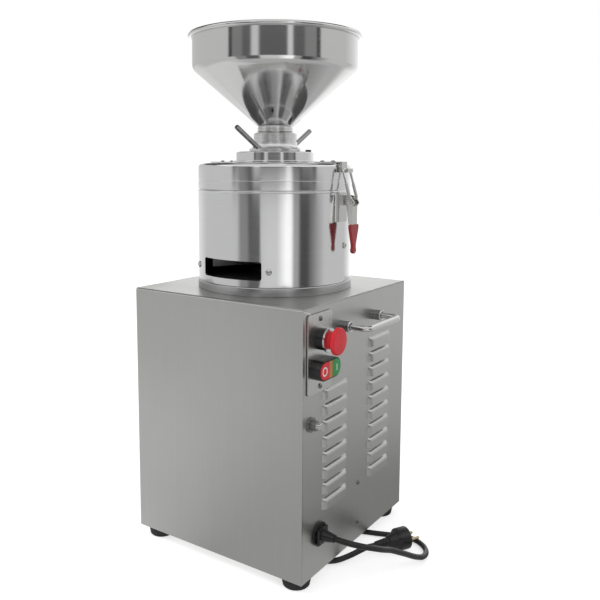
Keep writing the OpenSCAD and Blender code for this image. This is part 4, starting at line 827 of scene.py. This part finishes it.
class MILL_OT_hopper(bpy.types.Operator):
    """Spin the polished hopper with its bends and rolled rim"""

    bl_idname = "mill.hopper"
    bl_label = "Hopper"

    # Radii and levels of the CAD hopper, in millimetres
    wall, neck, ridge, brim, socket, throat = 1.5, 30.0, 31.6, 142.0, 27.05, 25.0
    z_seat, z_socket, z_cone, z_band, z_rim = 706.6, 712.1, 716.6, 810.6, 868.6

    def execute(self, context):
        sizes = context.scene.mill_sizes
        outline = eased_outline(self.outside(sizes) + self.inside(sizes))
        mesh = lathe("hopper_spun", outline, sizes.turned_sides)
        place_mesh("hopper_spun", mesh, "hopper_bowl", "spun_polish", ["hopper"], 40.0)
        return {"FINISHED"}

    def outside(self, sizes):
        """Corners of (point, bend) from the socket over the two ridges and the cone to the rolled rim."""
        corners = [((self.socket, self.z_socket), 0.2), ((self.socket, self.z_seat), 0.4),
                   ((self.neck, self.z_seat), 0.8)]
        for z in (self.z_seat + 3.0, self.z_seat + 7.5):
            corners += [((self.neck, z - 1.7), 0.6), ((self.ridge, z - 0.8), 0.9), ((self.ridge, z + 0.8), 0.9),
                        ((self.neck, z + 1.7), 0.6)]
        corners += [((self.neck, self.z_cone), 2.5), ((self.brim, self.z_band), sizes.hopper_bend / MM)]
        rim = sizes.hopper_rim / MM
        roll = arc(self.brim + rim - self.wall / 2.0, self.z_rim - rim + 0.5, rim, rim, -150, 150)
        return corners + [(p, 0.0) for p in roll]

    def inside(self, sizes):
        """Corners from the rim down the inside, one wall's thickness from the outside."""
        slope = (self.brim - self.neck) / (self.z_band - self.z_cone)
        inset = self.wall * math.sqrt(1.0 + slope * slope)
        z_throat = self.z_cone - (self.neck - inset - self.throat) / slope
        z_corner = self.z_band + (inset - self.wall) / slope
        inner = self.brim - self.wall
        return [((self.brim - 1.0, self.z_rim), 0.4), ((inner, self.z_rim - 2.0), 0.0),
                ((inner, z_corner), sizes.hopper_bend / MM + self.wall), ((self.throat, z_throat), 2.0),
                ((self.throat, self.z_socket), 0.2)]


class MILL_OT_cabinet(bpy.types.Operator):
    """Dress the cabinet's sheet steel, louvres, feet and handles"""

    bl_idname = "mill.cabinet"
    bl_label = "Cabinet"

    # Louvre columns as (side, place along it, hoods), and the hoods' and ferrules' places, in millimetres
    columns = ((1, -76.0, 8), (1, 73.0, 10), (-1, 76.0, 10), (-1, -73.0, 10))
    wall_x, hood_foot, hood_pitch = 170.0, 134.0, 25.4
    hood = {"Length": 0.076, "Height": 0.0172, "Depth": 0.0065, "Shoulder": 0.0055, "End": 0.010}
    ferrule_x, ferrule_y, ferrule_z, ferrule_girth, ring_share = 188.0, (-61.5, 45.5), 401.0, 0.0076, 0.16

    def execute(self, context):
        for node in ("cabinet_wrap", "right_side_panel", "left_side_panel"):
            dress(node, "brushed_steel")
        spots = [spot(side * self.wall_x, y, self.hood_foot + self.hood_pitch * i, (side, 0, 0),
                      0.0 if side > 0 else 180.0)
                 for side, y, count in self.columns for i in range(count)]
        hoods = grow("louvre_hoods", hood_tree(), spots, self.hood, "brushed_steel")
        place_mesh("louvre_hoods", hoods, "mill", "brushed_steel", angle=60.0)
        dress("rubber_feet", "black_rubber", 0.0008)
        for node in ("right_handle", "left_handle"):
            dress(node, "bright_chrome")
        dress("handle_ferrules", "grey_metal", 0.0003)
        spots = [spot(side * self.ferrule_x, y, self.ferrule_z, (side, 0, 0), 0.0, self.ferrule_girth)
                 for side in (1, -1) for y in self.ferrule_y]
        rings = grow("ferrule_rings", ring_tree(), spots, {"Rib share": self.ring_share}, "bright_chrome")
        tidy_mesh(rings)
        place_mesh("ferrule_rings", rings, "mill", "bright_chrome")
        coat("machined_steel", "base_plate", "mounting_plate")
        coat("zinc_plate", "foot_screws")
        return {"FINISHED"}


class MILL_OT_head(bpy.types.Operator):
    """Dress the turned drum, lid and adjuster"""

    bl_idname = "mill.head"
    bl_label = "Mill head"

    # Radius of the drum, inner radius, level and half height of the bead at its mouth, in millimetres
    drum_r, bead_in, bead_z, bead_half = 133.0, 132.2, 608.6, 1.8

    def execute(self, context):
        dress("drum", "drum_aluminium", 0.0011)
        self.bead(context.scene.mill_sizes)
        for row in (("base_ring", "ring_aluminium", 0.0010), ("lid", "turned_aluminium", 0.0007),
                    ("adjuster_flange", "turned_aluminium", 0.0006), ("adjusting_ring", "satin_aluminium", 0.0003),
                    ("lock_ring", "satin_aluminium", 0.0003), ("adjusting_rods", "rod_steel", 0.0003)):
            dress(*row)
        coat("black_rubber", "lid_gasket", "shaft_seal")
        return {"FINISHED"}

    def bead(self, sizes):
        outline = arc(self.drum_r, self.bead_z, sizes.drum_bead / MM, self.bead_half, -90, 90)
        outline += [(self.bead_in, self.bead_z + self.bead_half), (self.bead_in, self.bead_z - self.bead_half)]
        mesh = lathe("drum_bead", outline, sizes.turned_sides)
        place_mesh("drum_bead", mesh, "mill", "drum_aluminium")


class MILL_OT_controls(bpy.types.Operator):
    """Dress the control plate, emergency stop, twin button, reset button and gland"""

    bl_idname = "mill.controls"
    bl_label = "Controls"

    def execute(self, context):
        coat("black_rubber", "control_gasket")
        for row in (("control_plate", "plate_steel", 0.0009), ("estop_body", "black_plastic", 0.0004),
                    ("twin_switch_body", "black_plastic", 0.0005), ("cable_gland", "black_plastic", 0.0006),
                    ("estop_ring", "bright_chrome", 0.0004), ("estop_mushroom", "red_plastic", 0.0006, 40.0),
                    ("stop_button", "red_plastic", 0.0007), ("start_button", "green_plastic", 0.0007),
                    ("pilot_lens", "amber_lens", 0.0006), ("reset_bezel", "grey_metal", 0.0004),
                    ("reset_button", "zinc_plate", 0.0004, 40.0)):
            dress(*row)
        self.mark("stop_mark", "stop_button", "stop_key", "red_plastic", self.nought())
        self.mark("start_mark", "start_button", "start_key", "green_plastic", self.stroke())
        return {"FINISHED"}

    def nought(self):
        """Flat ring, the usual sign for off."""
        outline = [(4.9, -0.1), (7.0, -0.1), (7.0, 0.12), (6.85, 0.2), (5.05, 0.2), (4.9, 0.12)]
        return lathe("stop_mark", outline, 48)

    def stroke(self):
        """Flat bar, the usual sign for on."""
        bm = bmesh.new()
        bmesh.ops.create_cube(bm, size=1.0)
        bmesh.ops.scale(bm, vec=(1.9 * MM, 10.0 * MM, 0.3 * MM), verts=bm.verts)
        bmesh.ops.translate(bm, vec=(0.0, 0.0, 0.05 * MM), verts=bm.verts)
        bmesh.ops.bevel(bm, geom=bm.edges[:], offset=0.08 * MM, segments=2, profile=0.5, affect="EDGES")
        return mesh_of("start_mark", bm)

    def mark(self, name, key, body, slot, mesh):
        """Print a sign on the middle of a key's outer face."""
        lo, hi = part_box(key)
        out = Matrix(((0, 0, 1), (1, 0, 0), (0, 1, 0))).to_4x4()
        mesh.transform(Matrix.Translation((hi.x, (lo.y + hi.y) / 2.0, (lo.z + hi.z) / 2.0)) @ out)
        place_mesh(name, mesh, body, "white_print")


class MILL_OT_latches(bpy.types.Operator):
    """Dress the toggle latches and bend their bails with coil springs"""

    bl_idname = "mill.latches"
    bl_label = "Latches"

    # Ends of a bail's leg, half the width between the legs, reach of the turned-in ends and bend of the wire,
    # then outer radius of a spring, its start and length along the leg, in millimetres, and steps in a turn
    low, high = Vector((157.66, 0.0, 591.57)), Vector((142.0, 0.0, 644.8))
    leg_y, end_y, wire_bend = 11.5, 6.9, 2.6
    coil_r, coil_foot, coil_run, coil_steps = 2.8, 8.0, 24.0, 16

    def execute(self, context):
        sizes = context.scene.mill_sizes
        for node, ease in (("latch_keepers", 0.0005), ("latch_bases", 0.0004), ("right_lever", 0.0004),
                           ("left_lever", 0.0004)):
            dress(node, "latch_plate", ease)
        for node in ("right_grip", "left_grip"):
            dress(node, "grip_plastic", 0.0014)
        for side, turn in (("right", 0.0), ("left", math.pi)):
            spin = Matrix.Rotation(turn, 4, "Z")
            springs = [("_spring_" + leg, self.coil_line(y, sizes), sizes.spring_wire, 7, "zinc_plate", ())
                       for leg, y in (("front", -self.leg_y), ("back", self.leg_y))]
            bail = ("_bail_wire", self.bail_line(), sizes.wire, 14, "bright_chrome", [side + "_bail"])
            for name, line, radius, sides, finish_name, replaced in (bail, *springs):
                mesh = sweep(side + name, line, radius, sides)
                mesh.transform(spin)
                place_mesh(side + name, mesh, side + "_wire", finish_name, replaced, 60.0)
        return {"FINISHED"}

    def bail_line(self):
        """Wire from one turned-in end up a leg, over the bar and down to the other end."""
        y, inner = Vector((0.0, self.leg_y, 0.0)), Vector((0.0, self.end_y, 0.0))
        corners = [self.low - inner, self.low - y, self.high - y, self.high + y, self.low + y, self.low + inner]
        line = [corners[0]]
        for a, b, c in zip(corners, corners[1:], corners[2:]):
            line += eased_corner(a, b, c, self.wire_bend, 8)
        return [p * MM for p in line + [corners[-1]]]

    def coil_line(self, y, sizes):
        """Helix of the spring on one leg."""
        run = (self.high - self.low).normalized()
        across = Vector((0.0, 1.0, 0.0))
        third = run.cross(across)
        radius = self.coil_r - sizes.spring_wire / MM
        start = self.low + across * y
        count = sizes.spring_turns * self.coil_steps
        line = []
        for i in range(count + 1):
            a = math.tau * i / self.coil_steps
            along = run * (self.coil_foot + self.coil_run * i / count)
            line.append((start + along + radius * (math.cos(a) * across + math.sin(a) * third)) * MM)
        return line


class MILL_OT_screws(bpy.types.Operator):
    """Drive the pan head and cap screws with their recesses"""

    bl_idname = "mill.screws"
    bl_label = "Screws"

    # Shares of crown, recess width, recess length and recess depth, and sides of the recess
    PAN = (0.5, 0.24, 1.15, 0.5, 4)
    CAP = (0.05, 0.56, 1.0, 0.6, 6)

    def execute(self, context):
        sizes = context.scene.mill_sizes
        tree = screw_tree()
        pan, cap = (sizes.screw_head, sizes.screw_rise), (sizes.cap_head, sizes.cap_rise)
        self.drive("panel_screw_heads", tree, self.on_panels(), pan, self.PAN, "grey_metal", "panel_screws")
        self.drive("head_screw_heads", tree, self.on_head(), pan, self.PAN, "zinc_plate", "head_screws")
        self.drive("flange_cap_screws", tree, self.on_flange(), cap, self.CAP, "dark_metal", "flange_screws")
        return {"FINISHED"}

    def on_panels(self):
        """Two screws on the control plate and two on each side panel."""
        spots = [spot(173.0, -126.0, z, (1, 0, 0), twist) for z, twist in ((320.0, 20.0), (424.0, 65.0))]
        for z, twist in ((48.0, 35.0), (118.0, 80.0)):
            spots += [spot(170.0, 4.0, z, (1, 0, 0), twist), spot(-170.0, -4.0, z, (-1, 0, 0), twist + 20.0)]
        return spots

    def on_head(self):
        """Four larger screws round the drum and two on each latch keeper."""
        spots = []
        for turn, z, twist in ((-129.0, 483.0, 15.0), (-59.0, 483.0, 40.0), (5.7, 519.0, 70.0),
                               (185.7, 519.0, 25.0)):
            out = Vector((math.cos(math.radians(turn)), math.sin(math.radians(turn)), 0.0))
            spots.append(spot(133.1 * out.x, 133.1 * out.y, z, out, twist, 1.3))
        return spots + [spot(side * x, 0.0, 657.5, UP, twist)
                        for side in (1, -1) for x, twist in ((96.0, 50.0), (117.0, 10.0))]

    def on_flange(self):
        """Four cap screws, the first of them standing proud."""
        spots = []
        for i, z in enumerate((674.0, 670.0, 670.0, 670.0)):
            a = math.radians(25.0 + 90.0 * i)
            spots.append(spot(58.0 * math.cos(a), 58.0 * math.sin(a), z, UP, 12.0 * i))
        return spots

    def drive(self, name, tree, spots, size, shares, finish_name, node):
        """Grow heads of (radius, height) on points and stand them in for a node."""
        radius, height = size
        crown, width, reach, depth, sides = shares
        mesh = grow(name, tree, spots, {
            "Head radius": radius, "Head height": height, "Crown": height * crown, "Recess width": radius * width,
            "Recess length": radius * reach, "Recess depth": height * depth, "Recess sides": sides}, finish_name)
        place_mesh(name, mesh, "mill", finish_name, [node])


class MILL_OT_inside(bpy.types.Operator):
    """Give the motor and the grinding parts their finishes"""

    bl_idname = "mill.inside"
    bl_label = "Motor and discs"

    def execute(self, context):
        coat("motor_paint", "motor_housing", "motor_end_shields", "fan_cowl", "run_capacitor")
        coat("machined_steel", "motor_shaft", "motor_core", "motor_bearings", "sweeper", "rotor_nut",
             "stator_sleeve")
        coat("grinding_stone", "rotor_disc", "stator_disc")
        coat("black_plastic", "cooling_fan")
        return {"FINISHED"}


class MILL_OT_stage(bpy.types.Operator):
    """Lay the pale floor and set the soft studio light with its reflecting cards"""

    bl_idname = "mill.stage"
    bl_label = "Stage"

    # Studio panels as (middle, half width, level, soft edge), in degrees round from the camera.
    # Each covers those before it, and the first of a set goes all round.
    FOOT = ((0, 180, 0.48, 1), (180, 10, 1.00, 50), (-105, 27, 0.72, 33), (99, 20, 0.30, 40))
    NEAR = ((0, 180, 0.51, 1), (-105, 27, 0.76, 33), (180, 30, 1.38, 12))
    LOW = ((0, 180, 0.61, 1), (0, 10, 0.70, 20), (-152, 10, 0.80, 24), (160, 10, 1.12, 28), (180, 10, 1.23, 14),
           (46, 2, 0.10, 28), (19, 4, 1.25, 12), (32, 6, 0.41, 2.5), (41, 5.5, 0.07, 2.5), (-45, 6, 0.27, 4),
           (-29.5, 7.5, 0.12, 3))
    HIGH = ((0, 180, 0.62, 1), (150, 4, 1.02, 40), (180, 13, 1.42, 16), (-1, 60.5, 0.13, 2), (-51, 6, 0.24, 4),
            (47, 7, 0.26, 4), (-60, 2, 0.06, 1), (57, 2, 0.08, 1), (-26, 3, 0.66, 4), (19, 2, 0.72, 3))
    OVER = ((0, 180, 0.10, 1), (24, 116, 1.15, 18))
    ROOF = ((0, 180, 0.08, 1), (0, 92, 0.60, 20))
    CROWN = ((0, 180, 0.95, 1),)
    # Where each set of panels stands, in metres out along the floor, up the wall and back in overhead
    PATH = ((0.0, FOOT), (0.40, FOOT), (0.80, NEAR), (1.10, NEAR), (1.55, LOW), (2.80, LOW), (2.98, HIGH),
            (3.75, HIGH), (3.95, OVER), (4.60, OVER), (4.80, ROOF), (6.10, ROOF), (6.40, CROWN), (9.0, CROWN))
    # Radii of the rings of points on the floor and overhead, rows up the wall and points round a ring
    FLOOR_RINGS = (0.05, 0.40, 0.60, 0.80, 1.10, 1.32, 1.55)
    ROOF_RINGS = (0.90, 0.75, 0.60, 0.05)
    ROWS, COLUMNS = 24, 360
    CAMERA_SIDE = math.degrees(math.atan2(CAMERA_PLACE.y, CAMERA_PLACE.x))
    AIM = Vector((0.0, 0.0, 0.45))

    def execute(self, context):
        stage = context.scene.mill_stage
        context.scene.view_settings.view_transform = "Standard"
        self.world(context.scene, stage)
        self.floor(stage)
        self.cards(stage)
        self.lamp("key_lamp", (-0.9, -1.3, 2.0), 1.3, stage.key)
        self.lamp("fill_lamp", (1.7, -0.3, 1.7), 1.0, stage.fill)
        return {"FINISHED"}

    def seen(self, tree):
        """1 for rays that should see the white background."""
        ray = put(tree, "ShaderNodeLightPath").outputs
        pair = calc(tree, "MAXIMUM", ray["Is Camera Ray"], ray["Is Glossy Ray"])
        return calc(tree, "MAXIMUM", pair, ray["Is Transmission Ray"])

    def world(self, scene, stage):
        world = bpy.data.worlds.new("studio")
        world.use_nodes = True
        tree = world.node_tree
        glow = tree.nodes["Background"]
        tree.links.new(spread(tree, self.seen(tree), 0.0, 1.0, stage.room, 1.0), glow.inputs["Strength"])
        glow.inputs["Color"].default_value = WHITE
        scene.world = world

    def floor(self, stage):
        half = stage.floor_size / 2.0
        mesh = mesh_from("floor", [(-half, -half, 0), (half, -half, 0), (half, half, 0), (-half, half, 0)],
                         [(0, 1, 2, 3)])
        material, tree = blank("pale_floor")
        shader = tree.nodes["Principled BSDF"]
        shader.inputs["Base Color"].default_value = (0.82, 0.82, 0.82, 1.0)
        shader.inputs["Roughness"].default_value = 0.9
        shader.inputs["Emission Color"].default_value = WHITE
        tree.links.new(scaled(tree, self.seen(tree), 0.6), shader.inputs["Emission Strength"])
        mesh.materials.append(material)
        floor = link("floor", mesh)

    def level(self, panels, direction):
        """Level that a set of panels has in one direction."""
        total = 0.0
        for middle, half, level, edge in panels:
            off = abs((direction - middle + 180.0) % 360.0 - 180.0)
            cover = min(max((half + edge - off) / edge, 0.0), 1.0)
            total += (level - total) * cover
        return total

    def glow(self, run, direction):
        """Level at one place on the path and in one direction."""
        for (a, low), (b, high) in zip(self.PATH, self.PATH[1:]):
            if a <= run <= b:
                t = (run - a) / (b - a)
                return self.level(low, direction) * (1.0 - t) + self.level(high, direction) * t
        return self.level(self.PATH[-1][1], direction)

    def cards(self, stage):
        """Tent of cards on the floor, round the stage and over it, that only shiny surfaces see."""
        far, top = stage.card_radius, stage.card_height
        rings = [(r, 0.002, r) for r in (*self.FLOOR_RINGS, far)]
        rings += [(far, top * i / self.ROWS, far + top * i / self.ROWS) for i in range(1, self.ROWS + 1)]
        rings += [(r, top, far + top + far - r) for r in (far - 0.01, far - 0.1, *self.ROOF_RINGS)]
        points, glow = [], []
        for radius, z, run in rings:
            for k in range(self.COLUMNS):
                a = math.radians(self.CAMERA_SIDE + k)
                points.append((radius * math.cos(a), radius * math.sin(a), z))
                glow.append(self.glow(run, (k + 180) % 360 - 180))
        mesh = mesh_from("cards", points, quads(len(rings), self.COLUMNS))
        mesh.attributes.new("glow", "FLOAT", "POINT").data.foreach_set("value", glow)
        material, tree = blank("card_light")
        tree.nodes.remove(tree.nodes["Principled BSDF"])
        level = put(tree, "ShaderNodeAttribute", attribute_name="glow").outputs["Fac"]
        light = put(tree, "ShaderNodeEmission", {"Strength": level}).outputs[0]
        tree.links.new(light, tree.nodes["Material Output"].inputs["Surface"])
        mesh.materials.append(material)
        cards = link("cards", mesh)
        for ray in ("camera", "diffuse", "shadow", "transmission"):
            setattr(cards, "visible_" + ray, False)

    def lamp(self, name, place, size, power):
        data = bpy.data.lights.new(name, "AREA")
        data.shape = "DISK"
        data.size = size
        data.energy = power
        lamp = link(name, data)
        turn = (self.AIM - Vector(place)).to_track_quat("-Z", "Y")
        lamp.matrix_world = Matrix.Translation(place) @ turn.to_matrix().to_4x4()
        lamp.visible_glossy = False


STEPS = (MILL_OT_camera, MILL_OT_cord, MILL_OT_hopper, MILL_OT_cabinet, MILL_OT_head, MILL_OT_controls,
         MILL_OT_latches, MILL_OT_screws, MILL_OT_inside, MILL_OT_stage)


class MILL_PT_panel(bpy.types.Panel):
    """Steps and values of the colloid mill"""

    bl_idname = "MILL_PT_panel"
    bl_label = "Colloid mill"
    bl_space_type = "VIEW_3D"
    bl_region_type = "UI"
    bl_category = "Mill"

    def draw(self, context):
        for step in STEPS:
            self.layout.operator(step.bl_idname)
        for group_of_values in (context.scene.mill_sizes, context.scene.mill_colours, context.scene.mill_stage):
            box = self.layout.box()
            for name in group_of_values.__annotations__:
                box.prop(group_of_values, name)


CLASSES = (MillSizes, MillColours, MillStage, *STEPS, MILL_PT_panel)


def register():
    for each in CLASSES:
        bpy.utils.register_class(each)
    bpy.types.Scene.mill_sizes = PointerProperty(type=MillSizes)
    bpy.types.Scene.mill_colours = PointerProperty(type=MillColours)
    bpy.types.Scene.mill_stage = PointerProperty(type=MillStage)


def unregister():
    del bpy.types.Scene.mill_stage
    del bpy.types.Scene.mill_colours
    del bpy.types.Scene.mill_sizes
    for each in reversed(CLASSES):
        bpy.utils.unregister_class(each)


def main():
    register()
    mix_finishes(bpy.context.scene.mill_colours)
    for step in STEPS:
        space, name = step.bl_idname.split(".")
        getattr(getattr(bpy.ops, space), name)()


if __name__ == "__main__":
    main()
